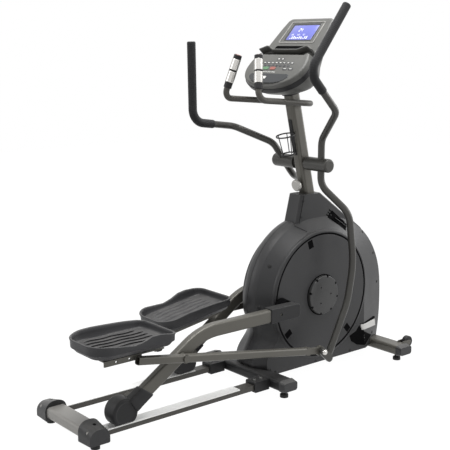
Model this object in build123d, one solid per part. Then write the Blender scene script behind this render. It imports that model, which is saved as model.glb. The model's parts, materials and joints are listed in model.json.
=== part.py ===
from build123d import *
import math
import os

# Elliptical trainer: crank drum in front, two roller rails behind it, pedals on linked arms,
# swinging handles on a hub through the mast, and a console on top.
# Millimetres, +X towards the console, +Y to the user's left, +Z up.
# X is measured from a plane just behind the crank axis while modelling; every piece is shifted
# once at the end.

# Fits and clearances
running_gap = 0.05      # radial, shafts that turn in a bore
seat_gap = 0.1          # radial, pieces pushed into each other
part_gap = 0.3          # least gap between pieces that move past each other
cut_gap = 1.0           # covers around frame pieces

# Linkage
crank_x = 44.0
crank_z = 364.0         # height of the crank axis
crank_radius = 254.0
crank_dip = 3.1         # degrees, right crank pin below the level on the rear side
roller_x = -1071.0      # right roller axle at the rearmost end of its stroke
arm_bend_x = -700.0     # bend of the main arm
link_pivot_reach = 308.0    # roller axle to the link pivot, along the arm's lower run
hub_x = 8.0             # handle pivot
hub_z = 954.0
toggle_x = -68.0        # lower end of the right handle
toggle_z = 150.0

# Base
floor_gap = 33.0        # underside of the cross tubes
foot_pad_d = 36.0
foot_pad_h = 15.0
foot_stem_d = 20.0
cross_w = 80.0          # cross tubes under the drum, along X
cross_h = 45.0
cross_corner = 14.0
cross_wall = 2.5
cross_half = 240.0
cross_cap_len = 30.0
cross_cap_rim = 3.0
mid_cross_x = -300.0
front_cross_x = 445.0
mid_foot_y = 228.0
front_foot_y = 213.0
rear_cross_x = -1195.0
rear_cross_w = 84.0
rear_cross_h = 44.0
rear_cross_corner = 14.0
rear_cross_half = 176.0
rear_bottom = 36.0      # underside of the rear cross tube
rear_foot_y = 163.0
cover_in_y = 122.0      # rear end covers
cover_out_y = 198.0
cover_w = 96.0
cover_top_in = 102.0
cover_top_out = 84.0
cover_bottom = 24.0
cover_bolt_d = 14.0
cover_round = 40.0      # upper corners
cover_edge = 6.0        # lower corners
cover_draw = 4.0        # taper to the outer end
rail_y = 149.0
rail_w = 47.0
rail_h = 22.0
rail_wall = 2.5
track_t = 2.5
track_lip = 2.0
track_top = 65.0        # running face of the tracks
track_rear_x = -1146.0
track_front_x = -500.0
bracket_len = 82.0      # clamp between each rail and the cross tube
bracket_side = 6.0
bracket_bottom = 30.0
bracket_top = 76.0
bolt_head_d = 14.0
bolt_head_h = 5.0
bolt_pitch = 36.0
beam_w = 60.0           # spine between the cross tubes
beam_h = 40.0
spine_wall = 3.0

# Transport wheels
cart_wheel_r = 28.0
cart_wheel_w = 24.0
cart_wheel_x = 516.0
cart_wheel_z = 74.0
cart_wheel_inset = 27.0  # from the cross tube's end
cart_fork_t = 4.0
cart_pin_d = 10.0
cart_lug_r = 11.0

# Mast
mast_lean = 13.1        # degrees, rearwards
mast_depth = 62.0
mast_w = 50.0
mast_corner = 16.0
mast_wall = 3.0
mast_foot_z = 705.0
mast_top_z = 1292.0
axle_d = 28.0           # handle axle
axle_half = 160.0
axle_collar_d = 44.0
knob_d = 52.0
knob_t = 18.0
knob_z = 866.0
knob_stem_d = 12.0
knob_stem_len = 14.0

# Drum covers
drum_half = 102.0
drum_wall = 3.0
drum_bottom = 49.0
drum_land = 7.0         # flat side around the crank disc
drum_bevel = 57.0       # from the flat side out to the rim
drum_band_half = 41.0   # flat rim
drum_nose_x = 506.0
drum_nose_z = 290.0
nose_root = 60.0        # where the nose curve leaves the crown
nose_power = 0.9        # fullness of the nose curve
heel_x = -302.0         # rear foot of the drum, at the rim
heel_side_x = -272.0    # and at the flat side
heel_z = 145.0
heel_draw = 6.0
waist_x = -262.0        # hollow above the rear foot
waist_side_x = -218.0
waist_z = 218.0
drum_toe = 20.0         # nose drawn in at its foot
drum_toe_z = 137.0
neck_top_z = 815.0
neck_low_z = 620.0
neck_top_rear = -33.0
neck_top_front = 90.0
neck_low_rear = -81.0
neck_low_front = 360.0
neck_half_top = 42.0
neck_half_low = 43.0
neck_corner = 14.0
neck_seam_top = -19.0
neck_seam_low = -46.0
neck_seam_z = 706.0
vent_x = 190.0          # louvre on the neck's side
vent_z = 694.0
vent_slope = 38.0
vent_len = 125.0
vent_h = 6.0
vent_pitch = 13.0
vent_rows = 3

# Crank and drive
disc_margin = 21.0      # disc beyond the crank pin's middle
disc_in_y = 98.0
disc_out_y = 105.0
disc_gap = 3.5
slot_len = 38.0
slot_w = 30.0
slot_depth = 4.0
slot_angles = (108, 215, 312)
hub_cap_r = 88.0
hub_cap_t = 14.0
cap_screw_d = 8.0
cap_screw_r = 42.0
cap_screw_angles = (0, 120, 240)
crank_axle_d = 30.0
crank_arm_t = 14.0
crank_pin_d = 20.0
crank_pin_end = 146.5
pin_boss_d = 74.0       # around the pin, between the disc and the main arm
shell_d = 62.0          # bearing shell of the spine
shell_half = 52.0
pulley_r = 150.0
pulley_w = 16.0
pulley_y = -64.0
pulley_web = 6.0
pulley_hub_d = 60.0
belt_t = 3.0
belt_w = 12.0
flywheel_x = 340.0
flywheel_z = 300.0
flywheel_r = 124.0
flywheel_w = 44.0
flywheel_web = 14.0
flywheel_rim = 34.0
flywheel_shaft_d = 17.0
small_pulley_r = 24.0
fork_in_y = 40.0        # flywheel fork
fork_t = 6.0
fork_w = 44.0
magnet_gap = 3.0
magnet_t = 12.0
magnet_w = 30.0
magnet_span = 76.0      # degrees
magnet_stem = 16.0
brake_arm_z = 482.0
brake_arm_h = 20.0
brake_arm_w = 40.0

# Main arms with their rollers
arm_y = 170.0
arm_w = 36.0
arm_h = 55.0
arm_corner = 8.0
arm_wall = 3.0
arm_bend_r = 260.0
arm_nose = 26.0         # tube beyond the crank pin
nose_cover_t = 4.0
nose_cover_len = 167.0
nose_cover_over = 8.0
nose_cover_corner = 16.0
nose_screw_d = 12.0
nose_screw_back = 76.0  # from the crank pin
pin_sleeve_d = 50.0
wheel_r = 45.0
wheel_w = 28.0
wheel_axle_d = 16.0
wheel_head_d = 26.0
wheel_head_t = 5.0
cheek_gap = 4.0
cheek_t = 8.0
cheek_r = 20.0
yoke_near = 52.0        # from the axle, along the lower run
yoke_far = 74.0
boot_r = 57.0
boot_half = 37.0
boot_wall = 3.0
boot_len = 140.0
boot_rail_gap = 5.0

# Links and pedals
link_y = 206.0
link_w = 30.0
link_h = 32.0
link_corner = 8.0
link_wall = 2.5
link_rear_x = -1030.0
link_pin_d = 20.0
link_boss_d = 36.0
link_head_d = 28.0
link_head_t = 6.0
eye_y = 206.0
eye_w = 16.0
eye_d = 44.0
eye_bore = 16.0
eye_neck = 70.0
tray_y = 132.0          # pedal middle
tray_w = 243.0
tray_rear_x = -1236.0
tray_front_x = -868.0
tray_bottom = 352.0
tray_floor = 375.0
tray_rear_rim = 387.0
tray_top = 418.0
tray_front_rim = 402.0
inner_rim = (30.0, 95.0)    # rise of the rim on the inner side, from the pedal's rear end
outer_rim = (170.0, 250.0)  # and on the outer side
rim_top_end = 270.0
tray_wall = 8.0
tray_rear_corner = 80.0
tray_front_corner = 42.0
tray_taper = 26.0       # underside drawn in
rib_h = 2.0
rib_w = 6.0
rib_pitch = 24.0
rib_count = 7
rib_margin = 60.0
plate_top = 335.0       # pedal bracket
plate_t = 5.0
plate_rear_x = -1165.0
plate_front_x = -896.0
plate_in_y = 75.0
flange_t = 6.0
flange_h = 22.0
flange_front_x = -1000.0
flange_hole_d = 9.0
flange_hole_x = 52.0    # first hole, from the flange's rear end
flange_hole_pitch = 58.0
tilt_x = -1148.0        # pedal hinge
tilt_z = 344.0
tilt_pin_d = 10.0
tilt_lug_d = 16.0
tilt_lug_w = 44.0
tilt_ear_t = 6.0
tilt_ear_gap = 2.0
tilt_ear_r = 7.0
screw_z = 320.0         # tilt screw
screw_d = 10.0
screw_len = 60.0
screw_knob_d = 40.0
screw_knob_t = 18.0
screw_post_w = 26.0
screw_post_t = 10.0

# Handles
sleeve_d = 60.0
sleeve_in_y = 36.0
sleeve_out_y = 171.0
sleeve_end = 9.0
grip_tube_y = 118.0     # tubes at the hub
grip_y = 250.0          # hand grips
swing_y = 216.0         # lower tube beside the drum
swing_d = 31.0
swing_wall = 2.5
upper_d = 30.0
upper_wall = 2.5
upper_seat = 14.0
foam_d = 37.0
foam_cap = 6.0
foam_tail = 115.0       # foam below the grip bend
drop_neck = 90.0        # bends of the lower tube, from the hub
shoulder_x = 80.0
shoulder_drop = 210.0
bow_x = 114.0
bow_drop = 434.0
shin_x = 82.0           # lowest bend, above the toggle
shin_rise = 195.0
lug_run = 39.0          # tube end, from the toggle
lug_drop = 36.0
swing_bends = [90.0, 110.0, 400.0, 300.0]
rise_neck = 108.0       # bends of the upper tube, from the hub
elbow_x = 48.0
elbow_rise = 238.0
wrist_x = 210.0
wrist_rise = 405.0
grip_end_x = 4.0
grip_end_rise = 672.0
upper_bends = [60.0, 60.0, 65.0]
lug_t = 10.0
lug_y = 227.0
lug_r = 18.0
lug_bolt_d = 22.0
lug_bolt_h = 9.0
lug_boss_d = 24.0

# Pulse bar
pulse_d = 26.0
pulse_wall = 2.0
pulse_y = 110.0
pulse_rear_x = -352.0
pulse_rear_z = 1246.0
pulse_front_z = 1218.0
pulse_elbow_r = 35.0
pulse_top_x = -314.0
pulse_top_y = 66.0
pulse_top_z = 1416.0
pulse_grip_d = 34.0
pulse_grip_start = 46.0
contact_t = 1.2
contact_len = 46.0
contact_gap = 8.0
contact_start = 72.0
button_d = 25.4
button_travel = 2.0
button_len = 9.0

# Console, along its sloping face: u down the slope, w out of the face
face_top_x = 54.0
face_top_z = 1581.0
face_slope = 47.5       # degrees from level
slab_t = 50.0
slab_top_half = 138.0
slab_low_half = 168.0
slab_len = 196.0
pod_len = 392.0
pod_rise = 22.0
pod_depth = 92.0
pod_half = 150.0
pod_taper = 60.0        # lower corners of the pod
pod_step = 16.0         # step from the slab up to the pod
console_corner = 24.0
pod_chin_half = 92.0
bezel_t = 14.0
console_wall = 3.0
screen_u = 34.0
screen_len = 98.0
screen_w = 164.0
screen_t = 3.0
ledge_u = 180.0
ledge_t = 8.0
ledge_reach = 34.0
ledge_half = 138.0
ledge_lip = 12.0
key_w = 13.0
key_h = 8.0
key_rise = 1.2
key_row_u = (226.0, 244.0, 272.0, 292.0)
key_row_count = (4, 9, 8, 8)
key_pitch = 19.0
big_key_w = 26.0
big_key_h = 16.0
big_key_u = 308.0
big_key_pitch = 44.0
clamp_len = 36.0        # socket over the mast's top
clamp_wall = 4.0
chin_u = 330.0
chin_len = 46.0
chin_half = 88.0
chin_depth = 3.0

# Bottle cage
wire_d = 5.0
bottle_d = 74.0
cage_low_z = 1014.0
cage_top_z = 1098.0
cage_tab_z = 1158.0
cage_strap_w = 18.0
cage_strap_t = 3.0
cage_taper = 0.72        # base hoop as a share of the top hoop
cage_upright = 0.8       # upright wires as a share of the hoop wire
cage_wire_angles = (37, 100, 180, 260, 323)


def turn(point, centre, degrees):
    """Turn an (x, z) point about another, nose up for positive angles."""
    a = math.radians(degrees)
    dx = point[0] - centre[0]
    dz = point[1] - centre[1]
    return (centre[0] + dx * math.cos(a) - dz * math.sin(a), centre[1] + dx * math.sin(a) + dz * math.cos(a))


def heading(start, end):
    return math.degrees(math.atan2(end[1] - start[1], end[0] - start[0]))


# Linkage solved for the right side at the rear of its stroke and the left side at the front
wheel_z = track_top + wheel_r
crank = (crank_x, crank_z)
hub = (hub_x, hub_z)
roller = (roller_x, wheel_z)
toggle = (toggle_x, toggle_z)
dip = math.radians(crank_dip)
pin = (crank_x - crank_radius * math.cos(dip), crank_z - crank_radius * math.sin(dip))
far_pin = (2 * crank_x - pin[0], 2 * crank_z - pin[1])
disc_r = crank_radius + disc_margin
crank_arm_w = 2 * disc_margin
drum_side_r = disc_r + disc_gap + drum_land
drum_rear_r = drum_side_r + drum_bevel
bend = (arm_bend_x, pin[1])
arm_reach = math.dist(pin, roller)
far_roller = (far_pin[0] - math.sqrt(arm_reach ** 2 - (far_pin[1] - wheel_z) ** 2), wheel_z)
stroke = far_roller[0] - roller[0]
arm_pitch = heading(far_roller, far_pin) - heading(roller, pin)
lower_dir = Vector(bend[0] - roller[0], 0, bend[1] - roller[1]).normalized()
lower_slope = heading(roller, bend)
link_pivot = (roller[0] + link_pivot_reach * lower_dir.X, roller[1] + link_pivot_reach * lower_dir.Z)
shifted_pivot = (link_pivot[0] + stroke, link_pivot[1])
far_link_pivot = turn(shifted_pivot, far_roller, arm_pitch)
link_reach = math.dist(link_pivot, toggle)
swing_reach = math.dist(hub, toggle)
hub_to_link = math.dist(hub, far_link_pivot)
along = (swing_reach ** 2 - link_reach ** 2 + hub_to_link ** 2) / (2 * hub_to_link)
across = math.sqrt(swing_reach ** 2 - along ** 2)
hub_u = ((far_link_pivot[0] - hub_x) / hub_to_link, (far_link_pivot[1] - hub_z) / hub_to_link)
far_toggle = (hub_x + along * hub_u[0] - across * hub_u[1], hub_z + along * hub_u[1] + across * hub_u[0])
swing = heading(hub, far_toggle) - heading(hub, toggle)
link_pitch = heading(far_link_pivot, far_toggle) - heading(link_pivot, toggle)
link_slope = heading(link_pivot, toggle)

# Ends along X set the shift that puts the origin under the middle of the box
rear_end = rear_cross_x - cover_w / 2
front_end = cart_wheel_x + cart_wheel_r
shift_x = -(rear_end + front_end) / 2

nodes = {}


def mirrored(shape):
    return mirror(shape, about=Plane.XZ)


def both(shape):
    return shape + mirrored(shape)


def span(x0, x1, y0, y1, z0, z1):
    """Box between two corners."""
    return Pos((x0 + x1) / 2, (y0 + y1) / 2, (z0 + z1) / 2) * Box(abs(x1 - x0), abs(y1 - y0), abs(z1 - z0))


def rod(x, z, diameter, y0, y1):
    """Cylinder along Y."""
    return Pos(x, (y0 + y1) / 2, z) * Rot(90, 0, 0) * Cylinder(diameter / 2, abs(y1 - y0))


def pipe(points, radii, diameter, bore=0.0):
    """Round tube along straight runs joined by arcs."""
    path = FilletPolyline(*points, radius=radii) if len(points) > 2 else Line(*points)
    section = Circle(diameter / 2)
    if bore > 0:
        section -= Circle(bore / 2)
    return sweep(Plane(origin=path @ 0, z_dir=path % 0) * section, path=path)


def box_section(width, height, corner, wall):
    return RectangleRounded(width, height, corner) - RectangleRounded(
        width - 2 * wall, height - 2 * wall, max(corner - wall, 0.5))


def box_pipe(points, radii, y, width, height, corner, wall):
    """Rectangular tube along a path in the XZ plane at the given y."""
    corners = [(x, y, z) for x, z in points]
    path = FilletPolyline(*corners, radius=radii) if len(corners) > 2 else Line(*corners)
    start = Plane(origin=path @ 0, x_dir=(0, 1, 0), z_dir=path % 0)
    return sweep(start * box_section(width, height, corner, wall), path=path)


def cross_tube(x, z0, width, height, corner, half, wall):
    plane = Plane(origin=(x, half, z0 + height / 2), x_dir=(1, 0, 0), z_dir=(0, -1, 0))
    return extrude(plane * box_section(width, height, corner, wall), 2 * half)


def side_plate(sketch, y0, y1):
    """Extrude an (x, z) sketch from y0 to y1, y1 below y0."""
    return extrude(Plane(origin=(0, y0, 0), x_dir=(1, 0, 0), z_dir=(0, -1, 0)) * sketch, abs(y1 - y0))


def at(point, radius):
    return Pos(point[0], point[1]) * Circle(radius)


def bar(start, end, radius):
    """Sketch of a flat bar with round ends between two (x, z) points."""
    middle = Pos((start[0] + end[0]) / 2, (start[1] + end[1]) / 2)
    return middle * Rot(0, 0, heading(start, end)) * SlotCenterToCenter(math.dist(start, end), 2 * radius)


def along_arm(distance, lift=0.0):
    """Point on the main arm's lower run, measured from the roller axle."""
    return (roller[0] + distance * lower_dir.X - lift * lower_dir.Z,
            roller[1] + distance * lower_dir.Z + lift * lower_dir.X)


def lower_block(d0, d1, width, height, y):
    """Box along the main arm's lower run."""
    x, z = along_arm((d0 + d1) / 2)
    return Pos(x, y, z) * Rot(0, -lower_slope, 0) * Box(d1 - d0, width, height)


def spin(shape, centre, degrees):
    """Turn nose up about a Y axis through an (x, z) point."""
    return shape.rotate(Axis((centre[0], 0, centre[1]), (0, 1, 0)), -degrees)


def to_left_arm(shape):
    """Right arm piece to the left side, at the front of the stroke."""
    return spin(Pos(stroke, 0, 0) * mirrored(shape), far_roller, arm_pitch)


def to_left_link(shape):
    shift = (far_link_pivot[0] - link_pivot[0], far_link_pivot[1] - link_pivot[1])
    return spin(Pos(shift[0], 0, shift[1]) * mirrored(shape), far_link_pivot, link_pitch)


def to_left_handle(shape):
    return spin(mirrored(shape), hub, swing)


def keep(name, shape):
    nodes[name] = shape


# Base frame
cross_top = floor_gap + cross_h
beam_z = cross_top - beam_h
rail_top = track_top - track_t
rail_bottom = rail_top - rail_h
mast_dir = Vector(-math.sin(math.radians(mast_lean)), 0, math.cos(math.radians(mast_lean)))


def mast_x(z):
    return hub_x - (z - hub_z) * math.tan(math.radians(mast_lean))


def mast_bar(z0, z1, depth, width, corner, wall=0.0):
    plane = Plane(origin=(mast_x(z0), 0, z0), x_dir=(math.cos(math.radians(mast_lean)), 0,
                  math.sin(math.radians(mast_lean))), z_dir=mast_dir)
    section = RectangleRounded(depth, width, corner)
    if wall > 0:
        section -= RectangleRounded(depth - 2 * wall, width - 2 * wall, max(corner - wall, 0.5))
    return extrude(plane * section, (z1 - z0) / mast_dir.Z)


cross_inner = [mid_cross_x + cross_w / 2, front_cross_x - cross_w / 2]
beam = span(*cross_inner, -beam_w / 2, beam_w / 2, beam_z, cross_top)
beam -= span(cross_inner[0] - cut_gap, cross_inner[1] + cut_gap, -beam_w / 2 + spine_wall,
             beam_w / 2 - spine_wall, beam_z + spine_wall, cross_top - spine_wall)
crank_post = span(crank_x - crank_arm_w / 2, crank_x + crank_arm_w / 2, -beam_w / 2, beam_w / 2,
                  cross_top - spine_wall, crank_z)
bearing_shell = rod(*crank, shell_d, -shell_half, shell_half)
mast_socket = mast_bar(cross_top - spine_wall, mast_foot_z, mast_depth, mast_w, mast_corner, mast_wall)
mast_socket &= span(-2 * drum_nose_x, 2 * drum_nose_x, -mast_w, mast_w, cross_top - spine_wall, neck_top_z)
fork_out_y = fork_in_y + fork_t
fork = span(flywheel_x - fork_w / 2, flywheel_x + fork_w / 2, fork_in_y, fork_out_y, beam_z, flywheel_z)
fork += rod(flywheel_x, flywheel_z, fork_w, fork_in_y, fork_out_y)
fork += span(flywheel_x - fork_w / 2, flywheel_x + fork_w / 2, 0, fork_out_y,
             cross_top - spine_wall, cross_top + fork_t)
brake_arm = span(mast_x(brake_arm_z), flywheel_x + magnet_stem, -brake_arm_w / 2, brake_arm_w / 2,
                 brake_arm_z, brake_arm_z + brake_arm_h)
stem_hole = magnet_stem + 2 * part_gap
main_frame = beam + crank_post + bearing_shell + mast_socket + both(fork) + brake_arm
main_frame -= rod(*crank, crank_axle_d + 2 * running_gap, -2 * shell_half, 2 * shell_half)
main_frame -= rod(flywheel_x, flywheel_z, flywheel_shaft_d + 2 * running_gap, -2 * fork_out_y, 2 * fork_out_y)
main_frame -= span(flywheel_x - stem_hole / 2, flywheel_x + stem_hole / 2, -stem_hole / 2, stem_hole / 2,
                   brake_arm_z - cut_gap, brake_arm_z + brake_arm_h + cut_gap)
keep("main_frame", main_frame)

mid_cross = cross_tube(mid_cross_x, floor_gap, cross_w, cross_h, cross_corner, cross_half, cross_wall)
keep("mid_stabilizer", mid_cross)
front_cross = cross_tube(front_cross_x, floor_gap, cross_w, cross_h, cross_corner, cross_half, cross_wall)
cart_axle = (cart_wheel_x, cart_wheel_z)
cart_wheel_y = cross_half - cart_wheel_inset
cart_root = (front_cross_x + cross_w / 2 - cart_lug_r, cart_wheel_z)
lug_near = cart_wheel_y + cart_wheel_w / 2 + part_gap
lug_far = cart_wheel_y - cart_wheel_w / 2 - part_gap
cart_lug = bar(cart_root, cart_axle, cart_lug_r)
cart_fork = side_plate(cart_lug, -lug_near, -lug_near - cart_fork_t)
cart_fork += side_plate(cart_lug, -lug_far + cart_fork_t, -lug_far)
cart_fork -= span(front_cross_x, front_cross_x + cross_w / 2 - cross_wall, -cross_half, 0,
                  0, cross_top - cross_wall)
cart_fork += rod(*cart_axle, cart_pin_d, -lug_near - cart_fork_t, -lug_far + cart_fork_t)
keep("front_stabilizer", front_cross + both(cart_fork))
cart_wheel = rod(*cart_axle, 2 * cart_wheel_r, -lug_near + part_gap, -lug_far - part_gap)
cart_wheel = fillet(cart_wheel.edges(), cart_wheel_w / 5)
cart_wheel -= rod(*cart_axle, cart_pin_d + 2 * running_gap, -lug_near, -lug_far)
keep("right_cart_wheel", cart_wheel)
keep("left_cart_wheel", mirrored(cart_wheel))
keep("rear_stabilizer", cross_tube(rear_cross_x, rear_bottom, rear_cross_w, rear_cross_h, rear_cross_corner,
                                   rear_cross_half, cross_wall))


def end_cap(x):
    width = cross_w + 2 * cross_cap_rim
    height = cross_h + 2 * cross_cap_rim
    plane = Plane(origin=(x, -cross_half, floor_gap + cross_h / 2), x_dir=(1, 0, 0), z_dir=(0, -1, 0))
    wide = plane * RectangleRounded(width, height, cross_corner + cross_cap_rim)
    draw = 4 * cross_cap_rim
    small = RectangleRounded(width - draw, height - draw, cross_corner - cross_cap_rim)
    return loft([wide, plane.offset(cross_cap_len) * small])


caps = both(end_cap(mid_cross_x)) + both(end_cap(front_cross_x))
keep("stabilizer_caps", caps)


def foot(x, y, top):
    pad = Pos(x, y, foot_pad_h / 2) * Cylinder(foot_pad_d / 2, foot_pad_h)
    pad = fillet(pad.edges().sort_by(Axis.Z)[-1], foot_pad_h / 4)
    return pad + Pos(x, y, (foot_pad_h + top) / 2) * Cylinder(foot_stem_d / 2, top - foot_pad_h)


feet = both(foot(rear_cross_x, -rear_foot_y, rear_bottom))
feet += both(foot(mid_cross_x, -mid_foot_y, floor_gap))
feet += both(foot(front_cross_x, -front_foot_y, floor_gap))
keep("levelling_feet", feet)

# Rails, from the rear cross tube to the middle one
rail_rear_x = rear_cross_x + rear_cross_w / 2
rail_front_x = mid_cross_x - cross_w / 2
rail_in_y = rail_y - rail_w / 2
rail_out_y = rail_y + rail_w / 2


def rail_body(grow=0.0):
    return span(rail_rear_x - grow, rail_front_x + grow, -rail_out_y - grow, -rail_in_y + grow,
                rail_bottom - grow, rail_top + grow)


rail = rail_body() - span(rail_rear_x - cut_gap, rail_front_x + cut_gap, -rail_out_y + rail_wall,
                          -rail_in_y - rail_wall, rail_bottom + rail_wall, rail_top - rail_wall)
keep("rails", both(rail))

track = span(track_rear_x, track_front_x, -rail_out_y - track_lip, -rail_in_y, rail_top, track_top)
track += span(track_rear_x, track_front_x, -rail_out_y - track_lip, -rail_out_y,
              rail_top - track_t, track_top)
keep("rail_tracks", both(track))

clamp = span(rail_front_x - bracket_len, rail_front_x, -rail_out_y - bracket_side, -rail_in_y + bracket_side,
             bracket_bottom, bracket_top)
clamp = fillet(clamp.edges().filter_by(Axis.Y).sort_by(Axis.X)[0:2], bracket_side)
clamp -= rail_body(seat_gap)
keep("rail_clamps", both(clamp))

clamp_bolts = Part()
for side in (-1, 1):
    x = rail_front_x - bracket_len / 2 + side * bolt_pitch / 2
    clamp_bolts += Pos(x, -rail_y, bracket_top + bolt_head_h / 2) * Cylinder(bolt_head_d / 2, bolt_head_h)
keep("clamp_bolts", both(clamp_bolts))


# Rear end covers over the cross tube's ends
def cover_section(y, top, shrink):
    plane = Plane(origin=(rear_cross_x, -y, cover_bottom), x_dir=(1, 0, 0), z_dir=(0, -1, 0))
    width = cover_w - 2 * shrink
    height = top - cover_bottom
    sketch = Pos(0, height / 2) * Rectangle(width, height)
    upper = sketch.vertices().sort_by(Axis.Y)[-2:]
    sketch = fillet(upper, cover_round - shrink)
    sketch = fillet(sketch.vertices().group_by(Axis.Y)[0], cover_edge)
    return plane * sketch


inner_end = cover_section(cover_in_y, cover_top_in, 0)
outer_end = cover_section(cover_out_y, cover_top_out, cover_draw)
rear_cover = loft([inner_end, outer_end])
room_plane = Plane(origin=(rear_cross_x, rear_cross_half + seat_gap, rear_bottom + rear_cross_h / 2),
                   x_dir=(1, 0, 0), z_dir=(0, -1, 0))
room = RectangleRounded(rear_cross_w + 2 * seat_gap, rear_cross_h + 2 * seat_gap, rear_cross_corner)
rear_cover -= extrude(room_plane * room, 2 * (rear_cross_half + seat_gap))
rear_cover -= rail_body(seat_gap)
stem_room = Cylinder(foot_stem_d / 2 + cut_gap, rear_bottom)
rear_cover -= Pos(rear_cross_x, -rear_foot_y, rear_bottom / 2) * stem_room
bolt_y = (cover_in_y + cover_out_y) / 2
bolt_depth = cover_top_in - rear_bottom - rear_cross_h
rear_cover -= Pos(rear_cross_x, -bolt_y, cover_top_in) * Cylinder(cover_bolt_d / 2, 2 * bolt_depth)
keep("rear_end_covers", both(rear_cover))


# Drum covers: rounded halves, flat around the crank disc, drawn out to a nose in front
def drum_outline(blend, inset):
    """Side view of the drum, from its rim (0) to its flat side (1)."""
    rear_r = drum_rear_r - inset
    side_r = drum_side_r - inset
    base = drum_bottom + inset
    rim = [(heel_x + heel_draw + inset, base), (heel_x + inset, heel_z), (waist_x + inset, waist_z)]
    side = [(heel_side_x + heel_draw + inset, base), (heel_side_x + inset, heel_z),
            (waist_side_x + inset, waist_z)]
    for angle in (188, 172, 156, 140, 126, 112):
        rim.append(turn((crank_x + rear_r, crank_z), crank, angle))
        side.append(turn((crank_x + side_r, crank_z), crank, angle))
    rim.append((nose_root, crank_z + rear_r))
    side.append((crank_x, crank_z + side_r))
    nose_a = drum_nose_x - nose_root - inset
    nose_b = crank_z + rear_r - drum_nose_z
    side_b = crank_z + side_r - drum_nose_z
    for angle in (76, 60, 45, 30, 15, 0):
        c = math.cos(math.radians(angle))
        s = math.sin(math.radians(angle))
        rim.append((nose_root + nose_a * c ** nose_power, drum_nose_z + nose_b * s ** nose_power))
        side.append((crank_x + side_r * c, drum_nose_z + side_b * s))
    rim += [(drum_nose_x - drum_toe / 4 - inset, drum_toe_z), (drum_nose_x - drum_toe - inset, base)]
    side += [(crank_x + side_r + drum_toe / 4, drum_toe_z), (crank_x + side_r + drum_toe, base)]
    return [(m[0] + (s[0] - m[0]) * blend, m[1] + (s[1] - m[1]) * blend) for m, s in zip(rim, side)]


def drum_half_solid(inset):
    sections = []
    for y, blend in ((0, 0), (drum_band_half, 0), (drum_half - inset, 1)):
        points = drum_outline(blend, inset)
        plane = Plane(origin=(0, -y, 0), x_dir=(1, 0, 0), z_dir=(0, -1, 0))
        outline = Spline(*points) + Line(points[-1], points[0])
        sections.append(plane * make_face(outline))
    return loft(sections, ruled=True)


def neck_solid(inset, lift=0.0):
    def level(z, rear, front, half):
        length = front - rear - 2 * inset
        section = RectangleRounded(length, 2 * (half - inset), neck_corner - inset)
        return Pos((rear + front) / 2, 0, z) * section
    low = level(neck_low_z, neck_low_rear, neck_low_front, neck_half_low)
    high = level(neck_top_z - lift, neck_top_rear, neck_top_front, neck_half_top)
    return loft([low, high])


half_space = span(-2 * drum_nose_x, 2 * drum_nose_x, -2 * drum_half, 0, -drum_half, 2 * neck_top_z)
drum_outer = drum_half_solid(0.0)
drum_inner = drum_half_solid(drum_wall)
neck_outer = neck_solid(0.0)
neck_inner = neck_solid(drum_wall, drum_wall)
mast_room = mast_bar(neck_low_z, neck_top_z + mast_w, mast_depth + 2 * cut_gap, mast_w + 2 * cut_gap,
                     mast_corner)
seam_run = (neck_seam_top - neck_seam_low) / (neck_top_z - neck_seam_z)
seam_foot = neck_seam_low - seam_run * (neck_seam_z - neck_low_z)
seam_head = neck_seam_top + seam_run * mast_w
behind_seam = Polygon((seam_foot, neck_low_z), (seam_head, neck_top_z + mast_w),
                      (-drum_nose_x, neck_top_z + mast_w), (-drum_nose_x, neck_low_z), align=None)
seam_side = side_plate(behind_seam, drum_half, -drum_half)
neck_shell = neck_outer - neck_inner - mast_room
neck_cover = (neck_shell & seam_side) - drum_outer - mirrored(drum_outer)
keep("neck_cover", neck_cover)

vent = Part()
for row in range(vent_rows):
    slit = Pos(vent_x, -neck_half_low, vent_z) * Rot(0, vent_slope, 0) * Pos(0, 0, -row * vent_pitch)
    vent += slit * Box(vent_len, neck_half_top, vent_h)

shell = (drum_outer + (neck_outer & half_space)) - drum_inner - (neck_inner & half_space)
shell -= (neck_outer & seam_side) - drum_outer
shell -= mast_room
shell -= vent
shell -= rod(*crank, 2 * (disc_r + disc_gap), -drum_half - cut_gap, -disc_in_y + crank_arm_t)
for x in (mid_cross_x, front_cross_x):
    shell -= span(x - cross_w / 2 - cut_gap, x + cross_w / 2 + cut_gap, -cross_half, cut_gap,
                  0, cross_top + cut_gap)
shell -= span(mid_cross_x, front_cross_x, -beam_w / 2 - cut_gap, cut_gap, 0, cross_top + fork_t + cut_gap)
shell -= span(flywheel_x - fork_w / 2 - cut_gap, flywheel_x + fork_w / 2 + cut_gap,
              -fork_out_y - cut_gap, cut_gap, 0, cross_top + fork_t + cut_gap)
shell = shell.solids().sort_by(SortBy.VOLUME)[-1]
keep("right_shell", shell)
keep("left_shell", mirrored(shell))

# Crank with its discs
arm_in_y = disc_in_y - crank_arm_t
crank_arms = side_plate(bar(crank, pin, crank_arm_w / 2), -arm_in_y, -disc_in_y)
crank_arms += side_plate(bar(crank, far_pin, crank_arm_w / 2), disc_in_y, arm_in_y)
crank_body = rod(*crank, crank_axle_d, -disc_in_y, disc_in_y) + crank_arms
crank_body += rod(*pin, crank_pin_d, -crank_pin_end, -arm_in_y)
crank_body += rod(*far_pin, crank_pin_d, arm_in_y, crank_pin_end)
crank_body += rod(*pin, pin_boss_d, -crank_pin_end, -disc_out_y - cut_gap)
crank_body += rod(*far_pin, pin_boss_d, disc_out_y + cut_gap, crank_pin_end)
keep("crank", crank_body)

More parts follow.
